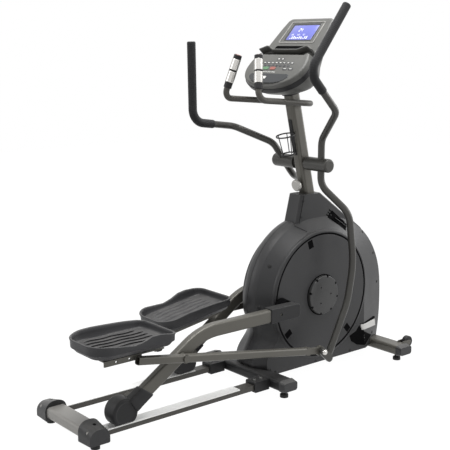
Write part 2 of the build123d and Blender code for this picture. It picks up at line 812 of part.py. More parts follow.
disc = rod(*crank, 2 * disc_r, -disc_out_y, -disc_in_y)
disc = fillet(disc.edges().sort_by(Axis.Y)[0], (disc_out_y - disc_in_y) / 4)
disc -= rod(*pin, crank_pin_d + 2 * seat_gap, -disc_out_y - cut_gap, -disc_in_y + cut_gap)
slot_r = disc_r - slot_len / 2 - slot_depth
for angle in slot_angles:
    radial = Pos(crank_x, -disc_out_y + slot_depth / 2, crank_z) * Rot(0, -angle, 0) * Pos(slot_r, 0, 0)
    disc -= radial * Box(slot_len, slot_depth, slot_w)
keep("right_crank_disc", disc)
keep("left_crank_disc", spin(mirrored(disc), crank, 180))

hub_cap = rod(*crank, 2 * hub_cap_r, -disc_out_y - hub_cap_t, -disc_out_y)
hub_cap = fillet(hub_cap.edges().sort_by(Axis.Y)[0], hub_cap_t / 4)
for angle in cap_screw_angles:
    screw = turn((crank_x + cap_screw_r, crank_z), crank, angle)
    hub_cap -= rod(*screw, cap_screw_d, -disc_out_y - hub_cap_t - cut_gap, -disc_out_y - hub_cap_t / 2)
keep("hub_caps", both(hub_cap))

pulley_out = pulley_y - pulley_w / 2
pulley_in = pulley_y + pulley_w / 2
pulley = rod(*crank, 2 * pulley_r, pulley_out, pulley_in)
for y0, y1 in ((pulley_out, pulley_y - pulley_web / 2), (pulley_y + pulley_web / 2, pulley_in)):
    pulley -= rod(*crank, 2 * pulley_r - 2 * pulley_w, y0, y1) - rod(*crank, pulley_hub_d, y0, y1)
pulley -= rod(*crank, crank_axle_d + 2 * seat_gap, pulley_out, pulley_in)
keep("drive_pulley", pulley)

flywheel_axis = (flywheel_x, flywheel_z)


def belt_loop(grow):
    wheels = at(crank, pulley_r + grow).edges() + at(flywheel_axis, small_pulley_r + grow).edges()
    return side_plate(make_hull(wheels), pulley_y + belt_w / 2, pulley_y - belt_w / 2)


keep("drive_belt", belt_loop(part_gap + belt_t) - belt_loop(part_gap))

flywheel = rod(*flywheel_axis, 2 * flywheel_r, -flywheel_w / 2, flywheel_w / 2)
flywheel_dish = 2 * (flywheel_r - flywheel_rim)
for y0, y1 in ((-flywheel_w / 2, -flywheel_web / 2), (flywheel_web / 2, flywheel_w / 2)):
    flywheel -= rod(*flywheel_axis, flywheel_dish, y0, y1) - rod(*flywheel_axis, pulley_hub_d, y0, y1)
flywheel += rod(*flywheel_axis, flywheel_shaft_d, pulley_out, fork_out_y + fork_t)
flywheel += rod(*flywheel_axis, 2 * small_pulley_r, pulley_out, pulley_in)
keep("flywheel", flywheel)

magnet_in = flywheel_r + magnet_gap
ring = at(flywheel_axis, magnet_in + magnet_t) - at(flywheel_axis, magnet_in)
edge = math.tan(math.radians(magnet_span / 2)) * 2 * magnet_in
wedge = Polygon(flywheel_axis, (flywheel_x + edge, flywheel_z + 2 * magnet_in),
                (flywheel_x - edge, flywheel_z + 2 * magnet_in), align=None)
magnets = side_plate(ring & wedge, magnet_w / 2, -magnet_w / 2)
magnets += span(flywheel_x - magnet_stem / 2, flywheel_x + magnet_stem / 2, -magnet_stem / 2, magnet_stem / 2,
                flywheel_z + magnet_in + magnet_t / 2, brake_arm_z + brake_arm_h + magnet_stem)
keep("brake_magnets", magnets)

# Mast with its axle, lock knob and bottle cage
mast = mast_bar(mast_foot_z, mast_top_z, mast_depth, mast_w, mast_corner, mast_wall)
mast += rod(hub_x, hub_z, axle_collar_d, -mast_w / 2, mast_w / 2)
mast -= rod(hub_x, hub_z, axle_d + 2 * seat_gap, -mast_w, mast_w)
lean = math.radians(mast_lean)
knob_plane = Plane(origin=(mast_x(knob_z), 0, knob_z), x_dir=(0, 1, 0),
                   z_dir=(-math.cos(lean), 0, -math.sin(lean)))
stem_start = mast_depth / 2 - 2 * mast_wall
mast -= extrude(knob_plane.offset(stem_start - cut_gap) * Circle(knob_stem_d / 2 + running_gap), mast_depth)
keep("mast", mast)
axle = rod(hub_x, hub_z, axle_d, -axle_half, axle_half)
axle += both(rod(hub_x, hub_z, axle_collar_d, -sleeve_in_y + part_gap, -mast_w / 2))
keep("handle_axle", axle)
knob_face = mast_depth / 2 + knob_stem_len
knob = extrude(knob_plane.offset(knob_face) * Circle(knob_d / 2), knob_t)
knob = fillet(knob.edges(), knob_t / 3)
knob += extrude(knob_plane.offset(stem_start) * Circle(knob_stem_d / 2), knob_face - stem_start + knob_t / 2)
keep("mast_knob", knob)

cage_plane = Plane(origin=(mast_x(cage_low_z), 0, cage_low_z),
                   x_dir=(math.cos(lean), 0, math.sin(lean)), z_dir=mast_dir)
cage_ring = (bottle_d + wire_d) / 2
cage_x = -(mast_depth / 2 + seat_gap + wire_d / 2 + cage_ring)
cage_h = cage_top_z - cage_low_z
base_ring = cage_taper * cage_ring


def cage_hoop(radius, z):
    ring = Circle(radius + wire_d / 2) - Circle(radius - wire_d / 2)
    return extrude(Pos(cage_x, 0, z - wire_d / 2) * Rot(0, 0, cage_wire_angles[0] / 2) * ring, wire_d)


cage = cage_hoop(cage_ring, cage_h) + cage_hoop(base_ring, 0)
for angle in cage_wire_angles:
    c = math.cos(math.radians(angle))
    s = math.sin(math.radians(angle))
    wire = Line((cage_x + base_ring * c, base_ring * s, 0), (cage_x + cage_ring * c, cage_ring * s, cage_h))
    cage += extrude(Plane(origin=wire @ 0, z_dir=wire % 0) * Circle(cage_upright * wire_d / 2), wire.length)
strap_x = -(mast_depth / 2 + seat_gap)
cage += span(strap_x - cage_strap_t, strap_x, -cage_strap_w / 2, cage_strap_w / 2,
             -cage_strap_w, cage_tab_z - cage_low_z)
cage += span(cage_x + base_ring, strap_x, -cage_strap_w / 4, cage_strap_w / 4,
             -cage_upright * wire_d / 2, cage_upright * wire_d / 2)
keep("bottle_cage", cage_plane.location * cage)


# Handles: hub sleeve with the lower tube, upper tube and foam
def outboard(points):
    return [(x, -y, z) for x, y, z in points]


seat_z = hub_z + sleeve_d / 2 - upper_seat
sleeve_root = hub_z - sleeve_d / 2 + upper_seat / 2
lower_run = outboard([(hub_x, grip_tube_y, sleeve_root), (hub_x, grip_tube_y, hub_z - drop_neck),
                      (hub_x + shoulder_x, swing_y, hub_z - shoulder_drop),
                      (hub_x + bow_x, swing_y, hub_z - bow_drop),
                      (hub_x + shin_x, swing_y, toggle_z + shin_rise),
                      (toggle_x + lug_run, swing_y, toggle_z - lug_drop)])
upper_run = outboard([(hub_x, grip_tube_y, seat_z), (hub_x, grip_tube_y, hub_z + rise_neck),
                      (hub_x - elbow_x, grip_y, hub_z + elbow_rise),
                      (hub_x - wrist_x, grip_y, hub_z + wrist_rise),
                      (hub_x - grip_end_x, grip_y, hub_z + grip_end_rise)])
sleeve = rod(hub_x, hub_z, sleeve_d, -sleeve_out_y, -sleeve_in_y)
sleeve = fillet(sleeve.edges().sort_by(Axis.Y)[0], sleeve_end)
swing_arm = sleeve + pipe(lower_run, swing_bends, swing_d, swing_d - 2 * swing_wall)
lower_end = (lower_run[-1][0], lower_run[-1][2])
lug_in_y = lug_y - lug_t / 2
lug_out_y = lug_y + lug_t / 2
link_out_y = link_y + link_w / 2
link_in_y = link_y - link_w / 2
swing_arm += side_plate(bar(toggle, lower_end, lug_r), -lug_in_y, -lug_out_y)
swing_arm += rod(*toggle, lug_bolt_d, -lug_out_y - lug_bolt_h, -lug_out_y)
swing_arm += rod(*toggle, lug_boss_d, -lug_in_y, -eye_y - eye_w / 2 - cut_gap)
swing_arm -= rod(hub_x, hub_z, axle_d + 2 * running_gap, -axle_half - part_gap, 0)
swing_arm -= Pos(hub_x, -grip_tube_y, seat_z + sleeve_d / 2) * Cylinder(upper_d / 2 + seat_gap, sleeve_d)
keep("right_swing_arm", swing_arm)
keep("left_swing_arm", to_left_handle(swing_arm))
upper = pipe(upper_run, upper_bends, upper_d, upper_d - 2 * upper_wall)
keep("right_upper_handle", upper)
keep("left_upper_handle", to_left_handle(upper))
grip_end = Vector(*upper_run[-1])
grip_dir = (grip_end - Vector(*upper_run[-2])).normalized()
fore_dir = (Vector(*upper_run[-2]) - Vector(*upper_run[-3])).normalized()
foam_start = Vector(*upper_run[-2]) - fore_dir * foam_tail
foam = pipe([foam_start, upper_run[-2], grip_end], upper_bends[-1:], foam_d, upper_d + 2 * seat_gap)
foam += pipe([grip_end, grip_end + grip_dir * foam_cap], [], foam_d)
keep("right_foam_grip", foam)
keep("left_foam_grip", to_left_handle(foam))

# Main arms: tube from the crank pin down to the roller yoke
wheel_in_y = rail_y - wheel_w / 2
wheel_out_y = rail_y + wheel_w / 2
cheek_in = wheel_in_y - cheek_gap - cheek_t
cheek_out = wheel_out_y + cheek_gap + cheek_t
arm_in = arm_y - arm_w / 2
arm_out = arm_y + arm_w / 2
main_arm = box_pipe([(pin[0] + arm_nose, pin[1]), bend, along_arm(yoke_near + cheek_t)], [arm_bend_r], -arm_y,
                    arm_w, arm_h, arm_corner, arm_wall)
main_arm += rod(*pin, pin_sleeve_d, -arm_out, -arm_in)
main_arm += rod(*link_pivot, link_boss_d - 2 * part_gap, -arm_out, -arm_in)
main_arm += lower_block(yoke_near, yoke_far, arm_out - cheek_in, arm_h - 2 * arm_wall,
                        -(arm_out + cheek_in) / 2)
cheek = bar(roller, along_arm(yoke_far - cheek_r), cheek_r)
main_arm += side_plate(cheek, -cheek_in, -cheek_in - cheek_t)
main_arm += side_plate(cheek, -cheek_out + cheek_t, -cheek_out)
main_arm += rod(*link_pivot, link_pin_d, -link_out_y - link_head_t - part_gap, -arm_in)
main_arm += rod(*link_pivot, link_head_d, -link_out_y - link_head_t - part_gap, -link_out_y - part_gap)
main_arm += rod(*link_pivot, link_head_d, -link_in_y + part_gap, -arm_out)
main_arm -= rod(*pin, crank_pin_d + 2 * cut_gap, -arm_out - cut_gap, -arm_in + cut_gap)
main_arm -= rod(*roller, wheel_axle_d + 2 * running_gap, -cheek_out - cut_gap, -cheek_in + cut_gap)
keep("right_main_arm", main_arm)
keep("left_main_arm", to_left_arm(main_arm))

cover_h = arm_h + 2 * nose_cover_t
cover_out = arm_out + nose_cover_t
cover_in = arm_in - nose_cover_t
nose_end = pin[0] + arm_nose + nose_cover_over
nose_back = nose_end - nose_cover_len
nose_sketch = Pos((nose_end + nose_back) / 2, pin[1]) * Rectangle(nose_cover_len, cover_h)
nose_sketch = fillet(nose_sketch.vertices().group_by(Axis.X)[-1], nose_cover_corner)
nose_cover = side_plate(nose_sketch, -cover_in, -cover_out)
nose_cover = fillet(nose_cover.edges().group_by(Axis.Y)[0], nose_cover_t)
nose_cover -= span(nose_back - cut_gap, pin[0] + arm_nose + seat_gap, -arm_out - seat_gap, -arm_in + seat_gap,
                   pin[1] - arm_h / 2 - seat_gap, pin[1] + arm_h / 2 + seat_gap)
nose_cover -= rod(*pin, pin_sleeve_d + 2 * cut_gap, -arm_in - cut_gap, -cover_in + cut_gap)
nose_cover -= rod(pin[0] - nose_screw_back, pin[1], nose_screw_d, -cover_out - cut_gap, -arm_out)
keep("right_nose_cover", nose_cover)
keep("left_nose_cover", to_left_arm(nose_cover))

boot_in = rail_y - boot_half
boot_out = rail_y + boot_half
boot = rod(*roller, 2 * boot_r, -boot_out, -boot_in)
boot += lower_block(0, yoke_far + 2 * nose_cover_t, 2 * boot_half, cover_h, -rail_y)
boot += lower_block(0, boot_len, arm_w + 2 * nose_cover_t, cover_h, -arm_y)
boot -= rod(*roller, 2 * (boot_r - boot_wall), -boot_out + boot_wall, -boot_in - boot_wall)
boot -= lower_block(0, yoke_far + nose_cover_t, 2 * (boot_half - boot_wall), arm_h + 2 * seat_gap, -rail_y)
boot -= lower_block(0, boot_len + cut_gap, arm_w + 2 * seat_gap, arm_h + 2 * seat_gap, -arm_y)
boot -= span(roller[0] - 2 * boot_r, roller[0] + 2 * boot_r, -rail_out_y - track_lip - boot_rail_gap,
             -rail_in_y + boot_rail_gap, 0, track_top + boot_rail_gap)
keep("right_wheel_cover", boot)
keep("left_wheel_cover", to_left_arm(boot))

wheel = rod(*roller, 2 * (wheel_r - part_gap), -wheel_out_y, -wheel_in_y)
wheel = fillet(wheel.edges(), wheel_w / 8)
wheel -= rod(*roller, wheel_axle_d + 2 * running_gap, -wheel_out_y - cut_gap, -wheel_in_y + cut_gap)
keep("right_roller", wheel)
keep("left_roller", to_left_arm(wheel))
wheel_axle = rod(*roller, wheel_axle_d, -cheek_out - part_gap, -cheek_in + part_gap)
for y0, y1 in ((-cheek_out - part_gap - wheel_head_t, -cheek_out - part_gap),
               (-cheek_in + part_gap, -cheek_in + part_gap + wheel_head_t)):
    wheel_axle += rod(*roller, wheel_head_d, y0, y1)
keep("right_roller_axle", wheel_axle)
keep("left_roller_axle", to_left_arm(wheel_axle))


# Links with the pedal brackets
def along_link(distance):
    a = math.radians(link_slope)
    return (toggle[0] - distance * math.cos(a), toggle[1] - distance * math.sin(a))


def link_block(d0, d1, width, height, y):
    x, z = along_link((d0 + d1) / 2)
    return Pos(x, y, z) * Rot(0, -link_slope, 0) * Box(d1 - d0, width, height)


link_len = (toggle_x - link_rear_x) / math.cos(math.radians(link_slope))
link_ends = [along_link(link_len), along_link(eye_neck)]
link = box_pipe(link_ends, [], -link_y, link_w, link_h, link_corner, link_wall)
link += link_block(eye_neck, eye_neck + eye_d / 2, link_w - 2 * part_gap, link_h - 2 * part_gap, -link_y)
eye_bar = bar(along_link(eye_neck + eye_d / 4), toggle, link_h / 2 - link_wall)
link += side_plate(eye_bar, -eye_y + eye_w / 2, -eye_y - eye_w / 2)
link += rod(*toggle, eye_d, -eye_y - eye_w / 2, -eye_y + eye_w / 2)
link += rod(*link_pivot, link_boss_d, -link_out_y, -link_in_y)
flange_y = link_in_y + cut_gap
link += span(plate_rear_x, plate_front_x, -flange_y, -plate_in_y, plate_top - plate_t, plate_top)
link += span(plate_rear_x, flange_front_x, -flange_y, -flange_y + flange_t, plate_top - flange_h, plate_top)
link += span(plate_rear_x, plate_front_x, -plate_in_y - flange_t, -plate_in_y,
             plate_top - flange_h / 2, plate_top)
ear = bar((tilt_x, plate_top - plate_t / 2), (tilt_x, tilt_z), tilt_ear_r)
ear_near = tilt_lug_w / 2 + tilt_ear_gap
for y in (-tray_y - ear_near - tilt_ear_t, -tray_y + ear_near):
    link += side_plate(ear, y + tilt_ear_t, y)
link += rod(tilt_x, tilt_z, tilt_pin_d, -tray_y - ear_near - tilt_ear_t, -tray_y + ear_near + tilt_ear_t)
link += span(plate_front_x - screw_post_t, plate_front_x,
             -tray_y - screw_post_w / 2, -tray_y + screw_post_w / 2,
             screw_z - screw_post_w / 2, plate_top - plate_t / 2)
link += span(plate_front_x - 3 * screw_post_t, plate_front_x - screw_post_t, -tray_y - screw_post_w,
             -tray_y + screw_post_w, plate_top - plate_t / 2, tray_bottom - part_gap)
screw_axis = Pos(plate_front_x, -tray_y, screw_z) * Rot(0, 90, 0)
link -= screw_axis * Cylinder(screw_d / 2 + running_gap, 4 * screw_post_t)
link -= rod(*toggle, eye_bore, -eye_y - eye_w, -eye_y + eye_w)
link -= rod(*link_pivot, link_pin_d + 2 * running_gap, -link_out_y - cut_gap, -link_in_y + cut_gap)
for index in range(2):
    hole_x = plate_rear_x + flange_hole_x + index * flange_hole_pitch
    link -= rod(hole_x, plate_top - flange_h / 2, flange_hole_d, -flange_y - cut_gap,
                -flange_y + flange_t + cut_gap)
keep("right_link", link)
keep("left_link", to_left_link(link))

tilt_screw = screw_axis * Pos(0, 0, -screw_len / 2) * Cylinder(screw_d / 2, screw_len + 2 * screw_post_t)
knob_place = screw_axis * Pos(0, 0, (screw_post_t + screw_knob_t) / 2)
tilt_knob = knob_place * Cylinder(screw_knob_d / 2, screw_knob_t)
tilt_knob = fillet(tilt_knob.edges(), screw_knob_t / 6)
tilt_knob += tilt_screw
keep("right_tilt_knob", tilt_knob)
keep("left_tilt_knob", to_left_link(tilt_knob))


# Pedals: open trays with ribbed floors
def tray_outline(inset):
    length = tray_front_x - tray_rear_x - 2 * inset
    outline = Pos((tray_front_x + tray_rear_x) / 2, -tray_y) * Rectangle(length, tray_w - 2 * inset)
    rear = outline.vertices().group_by(Axis.X)[0]
    outline = fillet(rear, tray_rear_corner - inset)
    front = outline.vertices().group_by(Axis.X)[-1]
    return fillet(front, tray_front_corner - inset)


tray = loft([Pos(0, 0, tray_bottom) * tray_outline(tray_taper), Pos(0, 0, tray_floor) * tray_outline(0)])
tray += extrude(Pos(0, 0, tray_floor) * tray_outline(0), tray_top - tray_floor)
tray -= extrude(Pos(0, 0, tray_floor) * tray_outline(tray_wall), tray_top)
for rise, y_start, y_end in ((inner_rim, 0, -tray_y), (outer_rim, -tray_y, -2 * tray_y)):
    above_rim = Polygon((tray_rear_x - tray_wall, tray_rear_rim), (tray_rear_x + rise[0], tray_rear_rim),
                        (tray_rear_x + rise[1], tray_top), (tray_rear_x + rim_top_end, tray_top),
                        (tray_front_x + tray_wall, tray_front_rim), (tray_front_x + tray_wall, 2 * tray_top),
                        (tray_rear_x - tray_wall, 2 * tray_top), align=None)
    tray -= side_plate(above_rim, y_start, y_end)
for row in range(rib_count):
    y = -tray_y + (row - (rib_count - 1) / 2) * rib_pitch
    tray += span(tray_rear_x + rib_margin, tray_front_x - rib_margin, y - rib_w / 2, y + rib_w / 2,
                 tray_floor - rib_h, tray_floor + rib_h)
tray += rod(tilt_x, tilt_z, tilt_lug_d, -tray_y - tilt_lug_w / 2, -tray_y + tilt_lug_w / 2)
tray += span(tilt_x - tilt_lug_d / 2, tilt_x + tilt_lug_d / 2,
             -tray_y - tilt_lug_w / 2, -tray_y + tilt_lug_w / 2, tilt_z, tray_bottom + rib_h)
tray -= rod(tilt_x, tilt_z, tilt_pin_d + 2 * running_gap, -tray_y - tilt_lug_w, -tray_y + tilt_lug_w)
keep("right_pedal", tray)
keep("left_pedal", to_left_link(tray))

# Pulse bar with its grips, contacts and thumb buttons
pulse_front_x = mast_x(pulse_front_z) + (mast_depth / 2 + pulse_d / 2 + seat_gap) / math.cos(lean)
pulse_corner = [(pulse_rear_x, -pulse_y, pulse_rear_z), (pulse_front_x, -pulse_y, pulse_front_z),
                (pulse_front_x, pulse_y, pulse_front_z), (pulse_rear_x, pulse_y, pulse_rear_z)]
pulse_top = Vector(pulse_top_x, -pulse_top_y, pulse_top_z)
pulse_root = Vector(*pulse_corner[0])
pulse_path = [pulse_top, *pulse_corner, Vector(pulse_top_x, pulse_top_y, pulse_top_z)]
loop_r = pulse_y - mast_w / 2
pulse_bends = [pulse_elbow_r, loop_r, loop_r, pulse_elbow_r]
keep("pulse_bar", pipe(pulse_path, pulse_bends, pulse_d, pulse_d - 2 * pulse_wall))
stub_dir = (pulse_top - pulse_root).normalized()
grip_bore = pulse_d + 2 * seat_gap
grip_ends = [pulse_root + stub_dir * pulse_grip_start, pulse_top + stub_dir * button_len]
pulse_grip = pipe(grip_ends, [], pulse_grip_d, grip_bore)
keep("pulse_grips", both(pulse_grip))
contacts = Part()
for index in range(2):
    start = contact_start + index * (contact_len + contact_gap)
    contacts += pipe([pulse_root + stub_dir * start, pulse_root + stub_dir * (start + contact_len)], [],
                     pulse_grip_d + 2 * contact_t, pulse_grip_d)
keep("pulse_contacts", both(contacts))
button_foot = pulse_top + stub_dir * (button_travel + part_gap)
button = pipe([button_foot, button_foot + stub_dir * button_len], [], button_d)
button = fillet(button.edges().sort_by(Axis.Z)[-1], button_travel / 2)
keep("right_thumb_button", button)
keep("left_thumb_button", mirrored(button))

# Console
slope = math.radians(face_slope)
face = Plane(origin=(face_top_x, 0, face_top_z), x_dir=(-math.cos(slope), 0, -math.sin(slope)),
             z_dir=(-math.sin(slope), 0, math.cos(slope)))


def console_outline(inset):
    half = [(inset, slab_top_half - inset), (slab_len - pod_step, slab_low_half - inset),
            (pod_len - pod_taper, pod_half - inset), (pod_len - inset, pod_chin_half - inset)]
    outline = Polygon(*half, *[(u, -y) for u, y in reversed(half)], align=None)
    return fillet(outline.vertices(), console_corner)


def console_profile(inset):
    return Polygon((inset, -inset), (slab_len, -inset), (slab_len + pod_step / 3, pod_rise - inset),
                   (pod_len - pod_step, pod_rise - inset), (pod_len - inset, -inset),
                   (pod_len - pod_taper, -pod_depth + inset), (slab_len + 2 * pod_step, -pod_depth + inset),
                   (slab_len - slab_t, -slab_t + inset), (inset, -slab_t + inset), align=None)


def console_solid(inset):
    block = extrude(face.offset(-2 * pod_depth) * console_outline(inset), 4 * pod_depth, dir=face.z_dir)
    side = Plane(origin=face.origin - Vector(0, slab_low_half, 0), x_dir=face.x_dir, z_dir=(0, 1, 0))
    return block & extrude(side * console_profile(inset), 2 * slab_low_half, dir=(0, 1, 0))


def on_face(u0, u1, y0, y1, w0, w1):
    """Box in the console's own directions."""
    return face.location * span(u0, u1, y0, y1, w0, w1)


console_room = on_face(-pod_len, 2 * pod_len, -2 * slab_low_half, 2 * slab_low_half, -bezel_t, 4 * pod_depth)
console_all = console_solid(0.0)
console_clamp = mast_bar(mast_top_z - clamp_len, mast_top_z + clamp_len, mast_depth + 2 * clamp_wall,
                         mast_w + 2 * clamp_wall, mast_corner)
console_back = (console_all - console_room) + (console_clamp - console_all)
console_back -= console_solid(console_wall) - console_room
console_back -= mast_bar(mast_foot_z, mast_top_z + seat_gap, mast_depth + 2 * seat_gap, mast_w + 2 * seat_gap,
                         mast_corner)
console_back = console_back.solids().sort_by(SortBy.VOLUME)[-1]
keep("console_back", console_back)

screen_half = screen_w / 2
console_face = console_all & console_room
console_face -= on_face(screen_u, screen_u + screen_len, -screen_half, screen_half, -screen_t, pod_depth)
console_face -= on_face(chin_u, chin_u + chin_len, -chin_half, chin_half, pod_rise - chin_depth, pod_depth)
keep("console_face", console_face)
keep("display", on_face(screen_u + seat_gap, screen_u + screen_len - seat_gap, -screen_half + seat_gap,
                        screen_half - seat_gap, -screen_t, 0))

ledge = on_face(ledge_u, ledge_u + ledge_t, -ledge_half, ledge_half, 0, ledge_reach)
ledge += on_face(ledge_u - ledge_lip, ledge_u + ledge_t, -ledge_half, ledge_half,
                 ledge_reach - ledge_t / 2, ledge_reach)
keep("reading_ledge", ledge)

keys = Part()
for row_u, count in zip(key_row_u, key_row_count):
    for column in range(count):
        y = (column - (count - 1) / 2) * key_pitch
        keys += on_face(row_u, row_u + key_h, y - key_w / 2, y + key_w / 2, pod_rise, pod_rise + key_rise)
for side in (-1, 0, 1):
    y = side * big_key_pitch
    keys += on_face(big_key_u, big_key_u + big_key_h, y - big_key_w / 2, y + big_key_w / 2,
                    pod_rise, pod_rise + key_rise)
keep("console_keys", keys)

os.makedirs("parts", exist_ok=True)
for name, shape in nodes.items():
    export_step(Pos(shift_x, 0, 0) * shape, f"parts/{name}.step")
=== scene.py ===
import json
import math

import bmesh
import bpy
from mathutils import Matrix, Vector
from mathutils.bvhtree import BVHTree


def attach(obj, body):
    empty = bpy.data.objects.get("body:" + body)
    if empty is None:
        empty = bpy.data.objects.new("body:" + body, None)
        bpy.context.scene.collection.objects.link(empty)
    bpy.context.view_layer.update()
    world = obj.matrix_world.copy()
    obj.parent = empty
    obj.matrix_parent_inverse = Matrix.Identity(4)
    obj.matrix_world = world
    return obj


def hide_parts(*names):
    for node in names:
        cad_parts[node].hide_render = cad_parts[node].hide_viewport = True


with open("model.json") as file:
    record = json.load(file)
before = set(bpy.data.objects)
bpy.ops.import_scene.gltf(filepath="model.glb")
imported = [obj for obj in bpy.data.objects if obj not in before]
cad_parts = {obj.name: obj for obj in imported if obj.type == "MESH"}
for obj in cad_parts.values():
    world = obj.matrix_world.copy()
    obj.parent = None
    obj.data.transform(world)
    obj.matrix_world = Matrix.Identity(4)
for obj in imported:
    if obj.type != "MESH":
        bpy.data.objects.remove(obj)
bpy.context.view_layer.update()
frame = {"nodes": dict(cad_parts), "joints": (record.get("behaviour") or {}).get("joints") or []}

bl_info = {
    "name": "Elliptical Trainer",
    "version": (1, 0, 0),
    "blender": (4, 5, 0),
    "location": "View3D > Sidebar > Trainer",
    "description": "Finishes and trims an elliptical trainer around its packed frame",
    "category": "Object",
}

# Pieces are worked in millimetres from a plane just behind the crank axis, the middle plane and the floor.
MM = 0.001
CRANK = Vector((44, 0, 364))
joints = {joint["name"]: joint for joint in frame["joints"]}
TO_ROW = Matrix.Translation((joints["crank_spin"]["pos_m"][0] - CRANK.x * MM, 0, 0)) @ Matrix.Scale(MM, 4)
FROM_ROW = TO_ROW.inverted()


def pivot(name):
    """A joint's axis in the side view."""
    x, _, z = joints[name]["pos_m"]
    return FROM_ROW @ Vector((x, 0, z))


def travel(name):
    joint = joints[name]
    return max(joint.get("range_m") or joint["range_deg"], key=abs)


def turned(centre, degrees):
    """Turn about an axis along Y."""
    spin = Matrix.Rotation(math.radians(degrees), 4, "Y")
    return Matrix.Translation(centre) @ spin @ Matrix.Translation(-centre)


MIRROR = Matrix.Scale(-1, 4, (0, 1, 0))
STROKE = Matrix.Translation((travel("right_stride") / MM, 0, 0))
ARM_PITCH = travel("right_arm_pitch")
LINK_PITCH = ARM_PITCH + travel("right_link_pitch")
LINK_SHIFT = Matrix.Translation(pivot("left_link_pitch") - pivot("right_link_pitch"))
SAME = Matrix.Identity(4)
OUTWARD = (0, -1, 0)
# Where the right side's pieces go on the left, by the body they ride
LEFT_PLACES = {
    "frame": MIRROR,
    "crank": turned(CRANK, 180) @ MIRROR,
    "arm": turned(pivot("left_arm_pitch"), ARM_PITCH) @ STROKE @ MIRROR,
    "foot_tray": turned(pivot("left_link_pitch"), LINK_PITCH) @ LINK_SHIFT @ MIRROR,
    "handle": turned(pivot("right_handle_swing"), travel("right_handle_swing")) @ MIRROR,
}
SHARED_BODIES = ("frame", "crank")


def linear(*screen):
    """Scene colour from a colour as it looks on a screen, 0 to 255."""
    return tuple(((c / 255 + 0.055) / 1.055) ** 2.4 if c > 10 else c / 255 / 12.92 for c in screen)


def colour_prop(name, description, *screen):
    return bpy.props.FloatVectorProperty(name=name, description=description, subtype="COLOR", size=3,
                                         min=0.0, max=1.0, default=linear(*screen))


def length_prop(name, description, default):
    return bpy.props.FloatProperty(name=name, description=description, default=default * MM, min=0.0,
                                   subtype="DISTANCE", unit="LENGTH")


class TrainerColours(bpy.types.PropertyGroup):
    drum: colour_prop("Drum", "Moulded drum and neck covers", 50, 50, 51)
    disc: colour_prop("Disc", "Crank discs and end caps", 53, 53, 54)
    # Black also covers the middle tube, as painted shade under the drum
    black: colour_prop("Black plastic", "Roller and nose covers, clamps and middle tube", 37, 37, 38)
    grey: colour_prop("Grey plastic", "Console body", 86, 86, 83)
    pedal: colour_prop("Pedals", "Pedal trays", 50, 50, 52)
    frame: colour_prop("Frame", "Base frame, rails and pulse bar", 72, 70, 66)
    arm: colour_prop("Arms", "Main arms, links, mast and front tube", 88, 86, 80)
    handle: colour_prop("Handles", "Handle tubes and their axle", 62, 61, 58)
    # The rear tube shares the front tube's paint; its lighter colour is painted light
    light: colour_prop("Rear tube", "Rear cross tube", 142, 140, 136)
    foam: colour_prop("Foam", "Handle grips", 40, 40, 41)
    rubber: colour_prop("Rubber", "Feet and belt", 20, 20, 20)
    screen: colour_prop("Screen", "Backlit display", 92, 98, 172)
    lip: colour_prop("Screen frame", "Pale line around the display", 150, 149, 145)


class TrainerSizes(bpy.types.PropertyGroup):
    band_half: length_prop("Rim band", "Half width of the raised band round the drum", 41)
    band_rise: length_prop("Rim band rise", "Height of the band above the drum", 11)
    foam_wave: length_prop("Foam wave", "Depth of the foam's fine rings", 0.3)
    rib_height: length_prop("Pedal rib", "Height of the ribs on the pedal floor", 3.2)
    edge_soft: length_prop("Soft edge", "Radius seen on moulded and cut edges", 1.5)


def mm(value):
    return value / MM


# Mesh making
def add_rings(bm, rings):
    """Closed skin over rings of points, each of the same count."""
    rows = [[bm.verts.new(point) for point in ring] for ring in rings]
    for row, after in zip(rows, rows[1:]):
        for i in range(len(row)):
            j = (i + 1) % len(row)
            bm.faces.new((row[i], row[j], after[j], after[i]))
    bm.faces.new(list(reversed(rows[0])))
    bm.faces.new(rows[-1])


def basis(centre, axis, up=Vector((0, 0, 1))):
    """Frame with its third direction along an axis."""
    axis = Vector(axis).normalized()
    side = up.cross(axis).normalized()
    turn = Matrix((side, axis.cross(side), axis)).transposed().to_4x4()
    return Matrix.Translation(centre) @ turn


def circle(radius, height, count):
    steps = [2 * math.pi * i / count for i in range(count)]
    return [Vector((radius * math.cos(a), radius * math.sin(a), height)) for a in steps]


def add_lathe(bm, profile, centre, axis, count):
    """Turned piece: (radius, height) pairs about an axis."""
    place = basis(centre, axis)
    add_rings(bm, [[place @ point for point in circle(r, h, count)] for r, h in profile])


def round_corner(start, corner, end, radius, steps):
    """A bent run of points with its corner rounded."""
    back = (start - corner).normalized()
    on = (end - corner).normalized()
    half = back.angle(on) / 2
    reach = radius / math.tan(half)
    centre = corner + (back + on).normalized() * radius / math.sin(half)
    first = corner + back * reach - centre
    last = corner + on * reach - centre
    axis = first.cross(last).normalized()
    turns = [first.angle(last) * i / steps for i in range(steps + 1)]
    return [start, *(centre + Matrix.Rotation(turn, 3, axis) @ first for turn in turns), end]


def resample(path, step):
    """Points along a path at an even spacing."""
    lengths = [0.0]
    for a, b in zip(path, path[1:]):
        lengths.append(lengths[-1] + (b - a).length)
    count = max(2, round(lengths[-1] / step))
    result = []
    k = 0
    for i in range(count + 1):
        d = lengths[-1] * i / count
        while k < len(path) - 2 and lengths[k + 1] < d:
            k += 1
        share = (d - lengths[k]) / max(lengths[k + 1] - lengths[k], 1e-9)
        result.append(path[k].lerp(path[k + 1], min(share, 1.0)))
    return result


def heading(path, i):
    """Direction of a path at one of its points."""
    return (path[min(i + 1, len(path) - 1)] - path[max(i - 1, 0)]).normalized()


